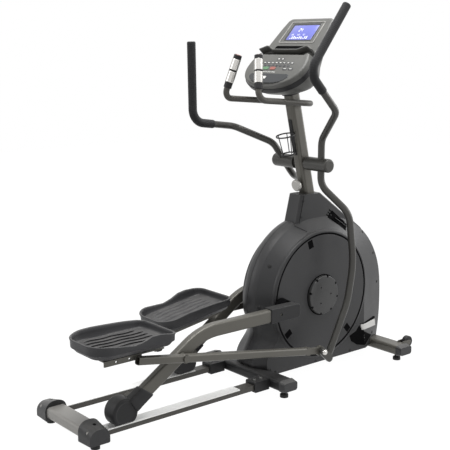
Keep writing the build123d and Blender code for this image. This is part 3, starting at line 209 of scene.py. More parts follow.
def path_frames(path):
    """Frames carried along a path without twist."""
    frames = []
    over = heading(path, 0).orthogonal()
    for i, point in enumerate(path):
        on = heading(path, i)
        over = (over - on * over.dot(on)).normalized()
        turn = Matrix((over, on.cross(over), on)).transposed().to_4x4()
        frames.append(Matrix.Translation(point) @ turn)
    return frames


def add_tube(bm, path, radius, count, flat=1.0):
    """Round rod along a path; radius may change along it."""
    rings = []
    for i, place in enumerate(path_frames(path)):
        size = radius(i) if callable(radius) else radius
        rings.append([place @ Vector((p.x, p.y * flat, 0)) for p in circle(size, 0, count)])
    add_rings(bm, rings)


def add_block(bm, low, high, place=SAME, soft=1.0):
    """Box with rounded edges."""
    low = Vector(low)
    high = Vector(high)
    made = bmesh.ops.create_cube(bm, size=1.0)
    size = Matrix.Diagonal((*(high - low), 1.0))
    bmesh.ops.transform(bm, verts=made["verts"], matrix=Matrix.Translation((low + high) / 2) @ size)
    edges = list({edge for vert in made["verts"] for edge in vert.link_edges})
    out = bmesh.ops.bevel(bm, geom=edges, offset=soft, segments=3, profile=0.5, affect="EDGES")
    verts = list({vert for face in out["faces"] for vert in face.verts})
    bmesh.ops.transform(bm, verts=verts, matrix=place)


def quarter(radius, steps=8):
    """Points of a quarter circle, as (cosine, sine) times the radius."""
    angles = [math.pi / 2 * i / steps for i in range(steps + 1)]
    return [(radius * math.cos(a), radius * math.sin(a)) for a in angles]


def mirrored(half, start=1):
    """Outline from its (u, y) half; start is 0 for a run whose first point is off the middle."""
    return list(half) + [(u, -y) for u, y in reversed(half[start:-1])]


def divided(outline, count):
    """Closed outline with each side cut in as many steps as its length asks for."""
    points = []
    for a, b in zip(outline, outline[1:] + outline[:1]):
        steps = count((b - a).length)
        points += [a.lerp(b, i / steps) for i in range(steps)]
    return points


def rounded_outline(half_u, half_v, corners, steps):
    """Rectangle outline with its own radius at each corner: ++, -+, --, +-."""
    points = []
    signs = ((1, 1), (-1, 1), (-1, -1), (1, -1))
    for k, ((su, sv), radius) in enumerate(zip(signs, corners)):
        for i in range(steps + 1):
            a = math.radians(90 * (k + i / steps))
            points.append(Vector((su * (half_u - radius) + radius * math.cos(a),
                                  sv * (half_v - radius) + radius * math.sin(a), 0)))
    return points


def add_screw(bm, centre, normal, radius):
    """Domed screw head with a cross recess."""
    place = basis(centre, normal)
    rings = []
    for share, height in ((1.0, -1.0), (1.0, 0.1), (0.86, 0.34), (0.62, 0.46)):
        rings.append([place @ p for p in circle(radius * share, radius * height, 32)])
    for share, height in ((0.56, 0.46), (0.5, 0.0)):
        star = []
        for p in circle(1.0, 0, 32):
            lobe = 0.3 + 0.7 * max(abs(p.x), abs(p.y)) ** 8
            star.append(place @ (Vector((p.x * share * lobe, p.y * share * lobe, height)) * radius))
        rings.append(star)
    add_rings(bm, rings)


def piece(name, add, body, finish, place=SAME, crease=38.0, node=None):
    """Finished object from a function that fills its mesh, riding on a body."""
    bm = bmesh.new()
    add(bm)
    bmesh.ops.recalc_face_normals(bm, faces=bm.faces)
    mesh = bpy.data.meshes.new(name)
    bm.to_mesh(mesh)
    bm.free()
    mesh.transform(TO_ROW @ place)
    if place.determinant() < 0:
        mesh.flip_normals()
    mesh.materials.append(finishes[finish])
    mesh.shade_smooth()
    mesh.set_sharp_from_angle(angle=math.radians(crease))
    obj = bpy.data.objects.new(name, mesh)
    bpy.context.scene.collection.objects.link(obj)
    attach(obj, body)
    if node:
        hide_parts(node)
    return obj


def pair(name, add, body, finish, crease=38.0, node=None):
    """A piece on the right and its copy on the left."""
    made = []
    for side, place in (("right", SAME), ("left", LEFT_PLACES[body])):
        rides = body if body in SHARED_BODIES else f"{side}_{body}"
        stands_for = node and f"{side}_{node}"
        made.append(piece(f"{side}_{name}", add, rides, finish, place, crease, stands_for))
    return made


def lathe(profile, centre, count):
    """Filler for a piece turned about an axis across the machine."""
    return lambda bm: add_lathe(bm, profile, centre, OUTWARD, count)


def surface(node):
    """Search tree over a node, in the working frame."""
    mesh = frame["nodes"][node].data
    verts = [FROM_ROW @ v.co for v in mesh.vertices]
    return BVHTree.FromPolygons(verts, [list(face.vertices) for face in mesh.polygons])


SLIT_STEP = 8.0
SHELL_WALL = 9.0


def on_side(tree, x, z):
    """Where a line across the machine meets the right side, as if its slits were closed."""
    found = []
    for lift in (0, SLIT_STEP, -SLIT_STEP):
        spot, normal, _, _ = tree.ray_cast(Vector((x, -600, z + lift)), Vector((0, 1, 0)))
        if spot is not None:
            found.append((spot, normal))
    if not found:
        raise RuntimeError(f"nothing to stand on at {x}, {z}")
    outer = min(spot.y for spot, _ in found)
    spot, normal = next(hit for hit in found if hit[0].y < outer + SHELL_WALL)
    return Vector((x, spot.y, z)), normal if normal.y < 0 else -normal


# Materials
def shader_group(name, label, outputs):
    """Node group with one number to set."""
    tree = bpy.data.node_groups.new(name, "ShaderNodeTree")
    tree.interface.new_socket(label, in_out="INPUT", socket_type="NodeSocketFloat")
    for output, kind in outputs:
        tree.interface.new_socket(output, in_out="OUTPUT", socket_type="NodeSocket" + kind)
    given = tree.nodes.new("NodeGroupInput").outputs[label]
    return tree, given, tree.nodes.new("NodeGroupOutput").inputs


def add_node(tree, kind, settings=None, **values):
    """A shader node with its settings, its inputs given as values or links."""
    node = tree.nodes.new("ShaderNode" + kind)
    for key, value in (settings or {}).items():
        setattr(node, key, value)
    for key, value in values.items():
        index = int(key[1:]) if key[0] == "i" and key[1:].isdigit() else key.replace("_", " ")
        socket = node.inputs[index]
        if isinstance(value, bpy.types.NodeSocket):
            tree.links.new(value, socket)
        else:
            socket.default_value = value
    return node


def math_node(tree, operation, a, b=0.0, clamp=False):
    settings = {"operation": operation, "use_clamp": clamp}
    return add_node(tree, "Math", settings, i0=a, i1=b).outputs[0]


def object_spot(tree):
    return add_node(tree, "TexCoord").outputs["Object"]


def noise(tree, spot, scale, detail):
    return add_node(tree, "TexNoise", Vector=spot, Scale=scale, Detail=detail).outputs["Fac"]


def grain_height(tree, spot, scale):
    cells = add_node(tree, "TexVoronoi", Vector=spot, Scale=scale).outputs["Distance"]
    return math_node(tree, "ADD", noise(tree, spot, scale, 3.0), cells)


def drawn_height(tree, spot, scale):
    long = add_node(tree, "VectorMath", {"operation": "MULTIPLY"}, i0=spot, i1=(0.06, 8.0, 8.0))
    return noise(tree, long.outputs[0], scale, 5.0)


def pore_height(tree, spot, scale):
    pores = add_node(tree, "TexVoronoi", {"feature": "SMOOTH_F1"}, Vector=spot, Scale=scale)
    return math_node(tree, "MULTIPLY", pores.outputs["Distance"], noise(tree, spot, scale, 6.0))


def relief_group(name, height, patch_scale, patch_detail):
    """Fine relief and broad patches over a surface."""
    tree, scale, out = shader_group(name, "Scale", [("Height", "Float"), ("Patch", "Float")])
    spot = object_spot(tree)
    tree.links.new(height(tree, spot, scale), out["Height"])
    tree.links.new(noise(tree, spot, patch_scale, patch_detail), out["Patch"])
    return tree


def edge_group():
    """Rounded look and scuffs along edges."""
    tree, radius, out = shader_group("Worn edge", "Radius", [("Mask", "Float"), ("Normal", "Vector")])
    soft = add_node(tree, "Bevel", {"samples": 4}, Radius=radius).outputs["Normal"]
    true = add_node(tree, "NewGeometry").outputs["Normal"]
    facing = add_node(tree, "VectorMath", {"operation": "DOT_PRODUCT"}, i0=soft, i1=true)
    edge = math_node(tree, "SUBTRACT", 1.0, facing.outputs["Value"])
    sharp = math_node(tree, "MULTIPLY", edge, 6.0, True)
    scuffs = noise(tree, object_spot(tree), 90.0, 4.0)
    tree.links.new(math_node(tree, "MULTIPLY", sharp, scuffs), out["Mask"])
    tree.links.new(soft, out["Normal"])
    return tree


def dust_group():
    """Uneven dust on faces that look up."""
    tree, amount, out = shader_group("Settled dust", "Amount", [("Mask", "Float")])
    normal = add_node(tree, "NewGeometry").outputs["Normal"]
    up = add_node(tree, "SeparateXYZ", Vector=normal).outputs["Z"]
    lying = add_node(tree, "MapRange", {"interpolation_type": "SMOOTHSTEP"}, Value=up,
                     i1=0.35, i2=1.0).outputs["Result"]
    uneven = math_node(tree, "MULTIPLY", amount, noise(tree, object_spot(tree), 26.0, 5.0))
    tree.links.new(math_node(tree, "MULTIPLY", lying, uneven), out["Mask"])
    return tree


def build_groups():
    """Effects that several finishes share."""
    return {
        "grain": relief_group("Moulded grain", grain_height, 11.0, 4.0),
        "drawn": relief_group("Drawn metal", drawn_height, 9.0, 3.0),
        "pores": relief_group("Foam pores", pore_height, 140.0, 3.0),
        "edge": edge_group(),
        "dust": dust_group(),
    }


DUST_COLOUR = (0.36, 0.35, 0.33, 1.0)


def blend_colour(tree, share, first, second):
    mix = add_node(tree, "Mix", {"data_type": "RGBA"}, i0=share, i6=first, i7=second)
    return mix.outputs[2]


def shade(colour, factor):
    return (*(min(1.0, c * factor) for c in colour), 1.0)


def cleared(holder):
    """Empty node tree of a material or a world."""
    holder.use_nodes = True
    holder.node_tree.nodes.clear()
    return holder.node_tree


def make_finish(groups, name, soft, colour, rough, pattern="grain", scale=700.0, depth=0.05, metal=0.0,
                patch=0.16, rub=0.25, dust=0.0, coat=0.0, specular=0.5, sheen=0.0, glow=0.0):
    """One surface: colour with patches, rubbed edges and dust, over a fine relief."""
    material = bpy.data.materials.new(name)
    tree = cleared(material)
    relief = add_node(tree, "Group", {"node_tree": groups[pattern]}, Scale=scale).outputs
    edge = add_node(tree, "Group", {"node_tree": groups["edge"]}, Radius=soft).outputs
    settled = add_node(tree, "Group", {"node_tree": groups["dust"]}, Amount=dust).outputs["Mask"]
    base = blend_colour(tree, relief["Patch"], shade(colour, 1 - patch), shade(colour, 1 + patch))
    worn = math_node(tree, "MULTIPLY", edge["Mask"], rub)
    base = blend_colour(tree, worn, base, shade([0.6 * c + 0.12 for c in colour], 1.0))
    base = blend_colour(tree, settled, base, DUST_COLOUR)
    rough_range = add_node(tree, "MapRange", Value=relief["Patch"], i1=0.3, i2=0.7,
                           i3=rough - 0.05, i4=rough + 0.05).outputs["Result"]
    rough_all = math_node(tree, "ADD", rough_range, math_node(tree, "MULTIPLY", settled, 0.3), True)
    bump = add_node(tree, "Bump", Strength=1.0, Distance=depth * MM, Height=relief["Height"],
                    Normal=edge["Normal"])
    shader = add_node(tree, "BsdfPrincipled", Base_Color=base, Roughness=rough_all,
                      Normal=bump.outputs["Normal"], Metallic=metal, Coat_Weight=coat, Coat_Roughness=0.2,
                      Specular_IOR_Level=specular, Sheen_Weight=sheen, Emission_Strength=glow)
    if glow:
        tree.links.new(base, shader.inputs["Emission Color"])
    end = add_node(tree, "OutputMaterial")
    tree.links.new(shader.outputs["BSDF"], end.inputs["Surface"])
    return material


def both(name):
    return [f"right_{name}", f"left_{name}"]


finishes = {}
NODE_FINISHES = {
    "frame_paint": ["main_frame", "rails", "pulse_bar"],
    # The three cross tubes share one paint; their finishes differ as painted light and shade: front arm
    # paint, middle black under the drum, rear lighter
    "arm_paint": ["mast", *both("main_arm"), *both("link"), "front_stabilizer"],
    "handle_paint": [*both("swing_arm"), *both("upper_handle"), "handle_axle"],
    "light_paint": ["rear_stabilizer"],
    "drum_plastic": [*both("shell"), "neck_cover"],
    "disc_plastic": [*both("crank_disc"), "drive_pulley"],
    "hub_plastic": ["hub_caps"],
    "black_plastic": [*both("nose_cover"), *both("wheel_cover"), *both("tilt_knob"), "pulse_grips",
                      *both("cart_wheel"), "bottle_cage", "rail_clamps", "mid_stabilizer"],
    "cap_plastic": ["stabilizer_caps", "rear_end_covers"],
    "grey_plastic": ["console_back", "console_face", "reading_ledge"],
    "pedal_plastic": both("pedal"),
    "foam": both("foam_grip"),
    "foot_rubber": ["levelling_feet", "drive_belt"],
    "roller_tyre": both("roller"),
    "track_metal": ["rail_tracks"],
    "steel": ["clamp_bolts", *both("roller_axle"), "crank"],
    "iron": ["flywheel", "brake_magnets"],
    "silver": ["mast_knob"],
    "contact_chrome": ["pulse_contacts"],
    "button_plastic": both("thumb_button"),
    "key_plastic": ["console_keys"],
    "screen_glass": ["display"],
}
PAINT = dict(scale=1500, depth=0.03, metal=0.35, patch=0.08, rub=0.35, dust=0.1)
MOULDED = dict(scale=900, dust=0.1, specular=0.3)
# Colour (a setting's name, or as it looks on a screen), roughness, and other arguments of make_finish
RECIPES = {
    "frame_paint": ("frame", 0.42, PAINT),
    "arm_paint": ("arm", 0.4, PAINT),
    "handle_paint": ("handle", 0.36, dict(PAINT, metal=0.3, rub=0.3, dust=0.05)),
    # Rear tube: the front tube's paint made lighter, as painted light
    "light_paint": ("light", 0.4, dict(PAINT, metal=0.3, patch=0.06, rub=0.2, dust=0.05)),
    "drum_plastic": ("drum", 0.4, dict(MOULDED, depth=0.04, rub=0.2)),
    "disc_plastic": ("disc", 0.4, dict(MOULDED, depth=0.04, rub=0.2, dust=0.05)),
    "hub_plastic": ((66, 66, 66), 0.36, dict(MOULDED, depth=0.03, dust=0.05, specular=0.35)),
    "black_plastic": ("black", 0.45, dict(MOULDED, specular=0.24)),
    # Caps: three times the usual share of pale grey on the faces that look up
    "cap_plastic": ("disc", 0.42, dict(MOULDED, dust=0.3)),
    "grey_plastic": ("grey", 0.45, dict(MOULDED, rub=0.2, dust=0.06, specular=0.5)),
    "pedal_plastic": ("pedal", 0.5, dict(MOULDED, scale=700, depth=0.08, rub=0.35, dust=0.25)),
    "foam": ("foam", 0.88, dict(pattern="pores", scale=900, depth=0.5, patch=0.3, rub=0.0, specular=0.25,
                                sheen=0.15)),
    "foot_rubber": ("rubber", 0.75, dict(scale=600, depth=0.06, rub=0.1, dust=0.2)),
    "roller_tyre": ("black", 0.6, dict(scale=600, dust=0.1)),
    "track_metal": ((247, 247, 245), 0.42, dict(pattern="drawn", scale=60, depth=0.02, metal=0.3,
                                                patch=0.04, rub=0.1)),
    "steel": ((170, 170, 168), 0.3, dict(pattern="drawn", scale=90, depth=0.02, metal=1.0, patch=0.08)),
    "iron": ((90, 88, 86), 0.5, dict(scale=500, depth=0.1, metal=0.8)),
    "silver": ((172, 170, 166), 0.34, dict(scale=1200, depth=0.03, metal=0.5, patch=0.06)),
    "contact_chrome": ((206, 204, 200), 0.22, dict(pattern="drawn", scale=80, depth=0.01, metal=0.9,
                                                   patch=0.05)),
    "button_plastic": ((150, 116, 112), 0.5, dict(depth=0.04)),
    "key_plastic": ((58, 58, 60), 0.5, dict(depth=0.04)),
    "screen_glass": ("screen", 0.22, dict(scale=300, depth=0.0, patch=0.1, rub=0.0, coat=0.6, glow=0.35)),
    "screen_figures": ((214, 216, 246), 0.3, dict(depth=0.01, rub=0.0, glow=0.4)),
    "screen_lip": ("lip", 0.4, dict(depth=0.03, rub=0.2)),
    # Glossy near-black of the well round the screen: painted shade of the recess inside the screen's frame
    "gloss_black": ((26, 26, 28), 0.2, dict(depth=0.01, rub=0.1, coat=0.4)),
    "mark_white": ((214, 214, 210), 0.5, dict(depth=0.01, rub=0.0, patch=0.05)),
    # Near-black with almost no gloss: painted shade in pockets, recesses, slots and gaps, and the colour of
    # the neck's dark joint lines
    "pocket_black": ((9, 9, 10), 0.8, dict(depth=0.04, rub=0.0, specular=0.03)),
    "chin_gloss": ((52, 54, 56), 0.25, dict(depth=0.01, rub=0.1, specular=0.4)),
    "badge_white": ((206, 205, 202), 0.4, dict(depth=0.02, patch=0.05, rub=0.1)),
    "key_green": ((92, 128, 96), 0.45, dict(depth=0.03)),
    "key_red": ((150, 92, 84), 0.45, dict(depth=0.03)),
}


class TRAINER_OT_finishes(bpy.types.Operator):
    """Make every finish and put it on the frame's nodes"""
    bl_idname = "trainer.finishes"
    bl_label = "Finishes"

    def execute(self, context):
        colours = context.scene.trainer_colours
        soft = context.scene.trainer_sizes.edge_soft
        groups = build_groups()
        for name, (colour, rough, rest) in RECIPES.items():
            colour = getattr(colours, colour) if isinstance(colour, str) else linear(*colour)
            finishes[name] = make_finish(groups, name, soft, colour, rough, **rest)
        for name, nodes in NODE_FINISHES.items():
            for node in nodes:
                mesh = frame["nodes"][node].data
                mesh.materials.clear()
                mesh.materials.append(finishes[name])
        return {"FINISHED"}


HANDLE_RUN = ((-40, -250, 1192), (-202, -250, 1359), (4, -250, 1626))
WRIST_BEND = 65.0
FOAM_TAIL = 115.0
FOAM_OVERRUN = 6.0
FOAM_RADIUS = 18.5
FOAM_STEP = 1.6
END_STEPS = 4
END_DROP = 4.5
WAVE_TURN = 1.25


class TRAINER_OT_foam_grips(bpy.types.Operator):
    """Foam sleeves on both handles, with rounded ends"""
    bl_idname = "trainer.foam_grips"
    bl_label = "Foam grips"

    def execute(self, context):
        wave = mm(context.scene.trainer_sizes.foam_wave)
        elbow, wrist, end = (Vector(point) for point in HANDLE_RUN)
        start = wrist - (wrist - elbow).normalized() * FOAM_TAIL
        end = end + (end - wrist).normalized() * FOAM_OVERRUN
        path = resample(round_corner(start, wrist, end, WRIST_BEND, 24), FOAM_STEP)
        last = len(path) - 1

        def radius(i):
            full = min(min(i, last - i) / END_STEPS, 1.0)
            drop = END_DROP * (1 - math.sqrt(1 - (1 - full) ** 2))
            return FOAM_RADIUS - drop + wave * math.sin(i * WAVE_TURN) * full

        for sleeve in pair("foam_sleeve", lambda bm: add_tube(bm, path, radius, 32), "handle", "foam",
                           node="foam_grip"):
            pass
        return {"FINISHED"}


TRAY_REAR, TRAY_FRONT = -1236.0, -868.0
TRAY_Y, TRAY_WIDTH = -132.0, 243.0
TRAY_FLOOR, TRAY_DEEP = 375.0, 23.0
TRAY_CORNERS, LEAST_CORNER = (42.0, 80.0, 80.0, 42.0), 8.0
# Height of the rim along the tray, from its rear end
INNER_RIM = ((0, 406), (40, 409), (80, 414), (110, 416), (180, 414), (270, 410), (368, 400))
OUTER_RIM = ((0, 408), (60, 408), (130, 398), (180, 391), (215, 404), (250, 414), (280, 414), (368, 400))
# Inset from the outline, height over the floor, and how much of the rim's height is added
TRAY_SECTION = ((30, -TRAY_DEEP, 0), (26, -TRAY_DEEP, 0), (20, 4 - TRAY_DEEP, 0), (7, 19 - TRAY_DEEP, 0),
                (2, -2, 0), (1, -7, 1), (-1, -5, 1), (-1.6, -2, 1), (0, 0, 1), (3, 0.6, 1), (6.4, -0.6, 1),
                (8.4, -3, 1), (10, -2.9, 0.7), (12.5, 2.3, 0.1), (15, 0.8, 0), (18, 0, 0), (40, 0, 0))
HINGE = pivot("right_pedal_tilt") + Vector((0, TRAY_Y, 0))
HINGE_KNUCKLE = ((5.1, -22), (7, -22), (8, -21), (8, 21), (7, 22), (5.1, 22))
RIBS, RIB_PITCH, RIB_SWAY = 6, 31.0, 3.0
RIB_STEPS = 40
RIB_MARGIN, SIDE_RIB_MARGIN = 50.0, 70.0


def along(table, x):
    """Value between the pairs of a table."""
    for (x0, v0), (x1, v1) in zip(table, table[1:]):
        if x <= x1:
            return v0 + (v1 - v0) * max(0.0, (x - x0) / (x1 - x0))
    return table[-1][1]


def tray_ring(inset, rise, rim_share):
    """Outline of the pedal at an inset, at its height over the floor."""
    half_x = (TRAY_FRONT - TRAY_REAR) / 2 - inset
    half_y = TRAY_WIDTH / 2 - inset
    corners = [max(radius - inset, LEAST_CORNER) for radius in TRAY_CORNERS]
    middle = Vector(((TRAY_FRONT + TRAY_REAR) / 2, TRAY_Y, 0))
    outline = [middle + p for p in rounded_outline(half_x, half_y, corners, 9)]
    ring = divided(outline, lambda length: 6 if length > 40 else 1)
    for point in ring:
        inner = 0.5 + 0.5 * max(-1.0, min(1.0, 1.6 * (point.y - TRAY_Y) / half_y))
        run = point.x - TRAY_REAR
        rim = inner * along(INNER_RIM, run) + (1 - inner) * along(OUTER_RIM, run)
        point.z = TRAY_FLOOR + rise + rim_share * (rim - TRAY_FLOOR)
    return ring


def add_rib(bm, row, height):
    """Low wavy rib along the pedal's floor; the outer two are shorter."""
    y = TRAY_Y + (row - (RIBS - 1) / 2) * RIB_PITCH
    margin = SIDE_RIB_MARGIN if row in (0, RIBS - 1) else RIB_MARGIN
    path = []
    for i in range(RIB_STEPS + 1):
        x = TRAY_REAR + margin + (TRAY_FRONT - TRAY_REAR - 2 * margin) * i / RIB_STEPS
        path.append(Vector((x, y + RIB_SWAY * math.sin(i * 0.36), TRAY_FLOOR + 0.2)))
    add_tube(bm, path, lambda i: height * (0.25 + 0.75 * min(1, i / 3, (RIB_STEPS - i) / 3)), 16, 2.4)


def add_tray(bm, rib):
    """Tray with its ribs, and the hinge below it."""
    add_rings(bm, [tray_ring(*row) for row in TRAY_SECTION])
    for row in range(RIBS):
        add_rib(bm, row, rib)
    add_lathe(bm, HINGE_KNUCKLE, HINGE, (0, 1, 0), 32)
    underside = TRAY_FLOOR - TRAY_DEEP - HINGE.z
    add_block(bm, HINGE + Vector((-8, -21, 5.5)), HINGE + Vector((8, 21, underside + 3)))


class TRAINER_OT_pedals(bpy.types.Operator):
    """Pedal trays with a rolled rim and a ribbed floor"""
    bl_idname = "trainer.pedals"
    bl_label = "Pedals"

    def execute(self, context):
        rib = mm(context.scene.trainer_sizes.rib_height)
        pair("tray", lambda bm: add_tray(bm, rib), "foot_tray", "pedal_plastic", crease=50.0, node="pedal")
        return {"FINISHED"}


RIM_STEP = 2.0


def rim_run(tree, first, last):
    """Middle of the drum's rim between two directions from the crank, in degrees."""
    count = round(abs(last - first) / RIM_STEP)
    path = []
    for i in range(count + 1):
        a = math.radians(first + (last - first) * i / count)
        out = Vector((math.cos(a), 0, math.sin(a)))
        spot = tree.ray_cast(CRANK + Vector((0, -12, 0)) + out * 700, -out)[0]
        path.append(Vector((spot.x, 0, spot.z)))
    return path


def add_band(bm, path, half, rise):
    """Rounded strip along a rim, with a joint line down its middle."""
    section = [(-half - 0.5, -6), (-half, 0.4)]
    for y in (-0.96 * half, -0.8 * half, -0.6 * half, -0.4 * half, -0.2 * half, -1.3):
        section.append((y, 0.4 + rise * (1 - (y / half) ** 2)))
    section.append((-0.7, rise - 1.4))
    section += [(-y, h) for y, h in reversed(section)]
    rings = []
    for i, point in enumerate(path):
        on = heading(path, i)
        out = Vector((-on.z, 0, on.x))
        if out.dot(point - CRANK) < 0:
            out = -out
        rings.append([point + out * h + Vector((0, y, 0)) for y, h in section])
    add_rings(bm, rings)


RIM_BANDS = (("rear_rim_band", 214, 109), ("nose_rim_band", 56, -30))
DISC_LIP = ((296, 90), (295.5, 98), (293.5, 102.5), (290, 104.5), (283, 105), (280.4, 104.4), (279.2, 102.6),
            (279, 96))
# Black ring on the lip's inner edge beside the disc's gap: painted shade that widens the gap's dark line
DISC_GAP_SHADE = ((282.6, 104.5), (282.4, 105.4), (280, 105.5), (278.7, 104.6), (278.5, 96))
# Dark ring round the hub cap: painted shade
CAP_SHADE_RING = ((94, 104.5), (93.6, 105.3), (91, 105.7), (88.6, 105.7), (88.2, 104.5))
CAP_NOTCHES = [122 + 45 * k for k in range(8)]
SLOT_ANGLES = (108, 215, 312)


def add_disc_shade_marks(bm):
    """Painted shade on the disc: a dark ring and dark notches round the hub cap, and dark floors in the
    disc's slots.
    """
    add_lathe(bm, CAP_SHADE_RING, CRANK, OUTWARD, 96)
    for angles, low, high, soft in ((CAP_NOTCHES, (80, -119.5, -4.5), (88.6, -110, 4.5), 1.2),
                                    (SLOT_ANGLES, (233.4, -104.4, -14.6), (270.6, -100.6, 14.6), 0.6)):
        for angle in angles:
            spin = Matrix.Rotation(math.radians(angle), 4, OUTWARD)
            add_block(bm, low, high, Matrix.Translation(CRANK) @ spin, soft)


class TRAINER_OT_drum_trim(bpy.types.Operator):
    """Raised rim bands, the lips around the crank discs and the discs' dark marks, which are painted shade"""
    bl_idname = "trainer.drum_trim"
    bl_label = "Drum trim"

    def execute(self, context):
        sizes = context.scene.trainer_sizes
        tree = surface("right_shell")
        for name, first, last in RIM_BANDS:
            run = rim_run(tree, first, last)
            piece(name, lambda bm: add_band(bm, run, mm(sizes.band_half), mm(sizes.band_rise)), "frame",
                  "drum_plastic")
        pair("disc_surround", lathe(DISC_LIP, CRANK, 128), "frame", "drum_plastic")
        # Painted shade beside the gap round each disc
        pair("disc_groove", lathe(DISC_GAP_SHADE, CRANK, 128), "frame", "pocket_black")
        pair("disc_marks", add_disc_shade_marks, "crank", "pocket_black")
        return {"FINISHED"}


# Places on the drum's right side, as (x, z)
WELLS = (
    (5.5, ((369, 602), (443, 490), (471, 345), (432, 102), (-234, 60), (14, 57), (239, 59))),
    (8.0, ((-236, 528), (-288, 350))),
    (4.5, ((-22, 788), (-33, 716))),
)
# Dark patch over the cavity round the front tube: painted shade
TUBE_POCKET_SHADE = ((234, 131), (278, 146), (300, 170), (316, 148), (340, 131), (421, 92), (398, 82), (344, 64),
               (288, 77), (246, 103))
BADGE = ((309, 171), (317, 144), (466, 128), (455, 163))
BADGE_SHADE = ((302, 176), (310, 172), (456, 164), (460, 174), (440, 180))
NECK_SEAMS = (((-18, 812), (-32, 750), (-44, 706), (-47, 690)), ((-76, 683), (-57, 672), (-34, 657)))
# The vent's dark field, which is painted shade, and its blade, as (run down its slope, rise across it)
VENT_PLACE = Matrix.Translation((190, 0, 694)) @ Matrix.Rotation(math.radians(38), 4, "Y")
VENT_SHADE_FIELD = ((-50, -34), (60, -34), (66, -6), (50, 8), (-44, 8))
VENT_BLADE = ((-42, -13), (-10, -13), (24, -13), (58, -13))
PATCH_STEP = 7.0


def add_patch(bm, tree, outline, rise):
    """Thin plate that follows the drum's right side, inside an outline of (x, z) points."""
    corners = [Vector((x, 0, z)) for x, z in outline]
    middle = sum(corners, Vector()) / len(corners)
    edge = divided(corners, lambda length: max(1, round(length / PATCH_STEP)))
    rings = []
    sides = ((0, -2), (0, 0.6 * rise))
    for share, height in (*sides, *((share, rise) for share in (0.02, 0.25, 0.5, 0.75, 0.95))):
        ring = []
        for point in edge:
            point = point.lerp(middle, share)
            spot, normal = on_side(tree, point.x, point.z)
            ring.append(spot + normal * height)
        rings.append(ring)
    add_rings(bm, rings)


def add_seam(bm, tree, points, width=1.1):
    """Thin line on the right side along (x, z) points."""
    run = resample([Vector((x, 0, z)) for x, z in points], 6)
    add_tube(bm, [on_side(tree, point.x, point.z)[0] for point in run], width, 8)


def on_vent(points):
    """Side-view places of points along the sloping vent."""
    spots = [VENT_PLACE @ Vector((run, 0, rise)) for run, rise in points]
    return [(spot.x, spot.z) for spot in spots]


def add_vent_shade_and_seams(bm, tree):
    """Painted shade: a dark field behind the vent's blade. Also the dark joint lines of the neck."""
    add_patch(bm, tree, on_vent(VENT_SHADE_FIELD), 0.9)
    for run in NECK_SEAMS:
        add_seam(bm, tree, run)


def add_wells(bm, tree):
    """Screws sunk in low rimmed wells on the right side."""
    for radius, spots in WELLS:
        for x, z in spots:
            spot, normal = on_side(tree, x, z)
            rim = ((1.6, -2), (1.6, 0.3), (0.6, 0.8), (-0.2, 0.4), (-0.6, -1.8))
            add_lathe(bm, [(radius + grow, height) for grow, height in rim], spot, normal, 28)
            add_screw(bm, spot - normal * 0.4, normal, radius - 1.2)


def add_shade_pockets(bm, tree):
    """Painted shade: a dark pocket round the front tube, and a painted shadow over the badge."""
    add_patch(bm, tree, TUBE_POCKET_SHADE, 0.8)
    add_patch(bm, tree, BADGE_SHADE, 0.8)


class TRAINER_OT_drum_fittings(bpy.types.Operator):
    """Screws, vent, seams, blank badge and cross tube pockets of the drum; the pockets and the vent's field
    are painted shade
    """
    bl_idname = "trainer.drum_fittings"
    bl_label = "Drum fittings"

    def execute(self, context):
        tree = surface("right_shell")
        pair("drum_screws", lambda bm: add_wells(bm, tree), "frame", "foot_rubber")
        pair("vent_blades", lambda bm: add_seam(bm, tree, on_vent(VENT_BLADE), 2.2), "frame", "drum_plastic")
        pair("vent_field", lambda bm: add_vent_shade_and_seams(bm, tree), "frame", "pocket_black")
        pair("tube_pocket", lambda bm: add_shade_pockets(bm, tree), "frame", "pocket_black")
        pair("badge", lambda bm: add_patch(bm, tree, BADGE, 2.2), "frame", "badge_white")
        return {"FINISHED"}


PIN = Vector((-209.6, 0, 350.3))
# Boss at the crank pin; its near-black colour is painted shade
PIN_BOSS = ((22, 105.2), (41, 105.2), (41.5, 107), (40.5, 112), (38.6, 130), (37.8, 144), (37.4, 146.7),
            (22, 146.9))
TOGGLE = Vector((-68, 0, 150))
TOGGLE_CAP = ((12, 232.2), (12, 240), (11.4, 241.4), (9.4, 241.8), (9, 244.5), (6, 246.4), (0.4, 246.8))
ROLLER = pivot("right_arm_pitch")
ARM_BEND = Vector((-700, 0, 350.3))
ARM_RUN = (ARM_BEND - ROLLER).normalized()
ARM_Y = -170.0
COVER_R, COVER_IN, COVER_OUT, COVER_FLOOR = 57.0, 112.0, 186.0, 70.0
COVER_HUB = ((44, 0), (42, -1.4), (40, -1.6), (30, -1.2), (12, -1))
INNER_ROUND, OUTER_ROUND = 15.0, 10.0
# Sleeve up the arm: distance from the roller and growth of its section
SLEEVE = ((38, -6), (39, -1), (42, 0.6), (46, 1), (60, 1), (64, 0.2), (90, 0), (112, 0), (117, -1), (119, -3))
SLEEVE_HALF_Y, SLEEVE_HALF_UP, SLEEVE_CORNER = 22.0, 31.5, 9.0
SLANT, SLANT_START, SLANT_RUN = 0.38, 64.0, 55.0


def cover_ring(radius, y):
    """Round outline about the roller, cut flat above the rail."""
    low = COVER_FLOOR + 0.35 * (COVER_R - radius)
    return [Vector((ROLLER.x + p.x, y, max(ROLLER.z + p.y, low))) for p in circle(radius, 0, 72)]


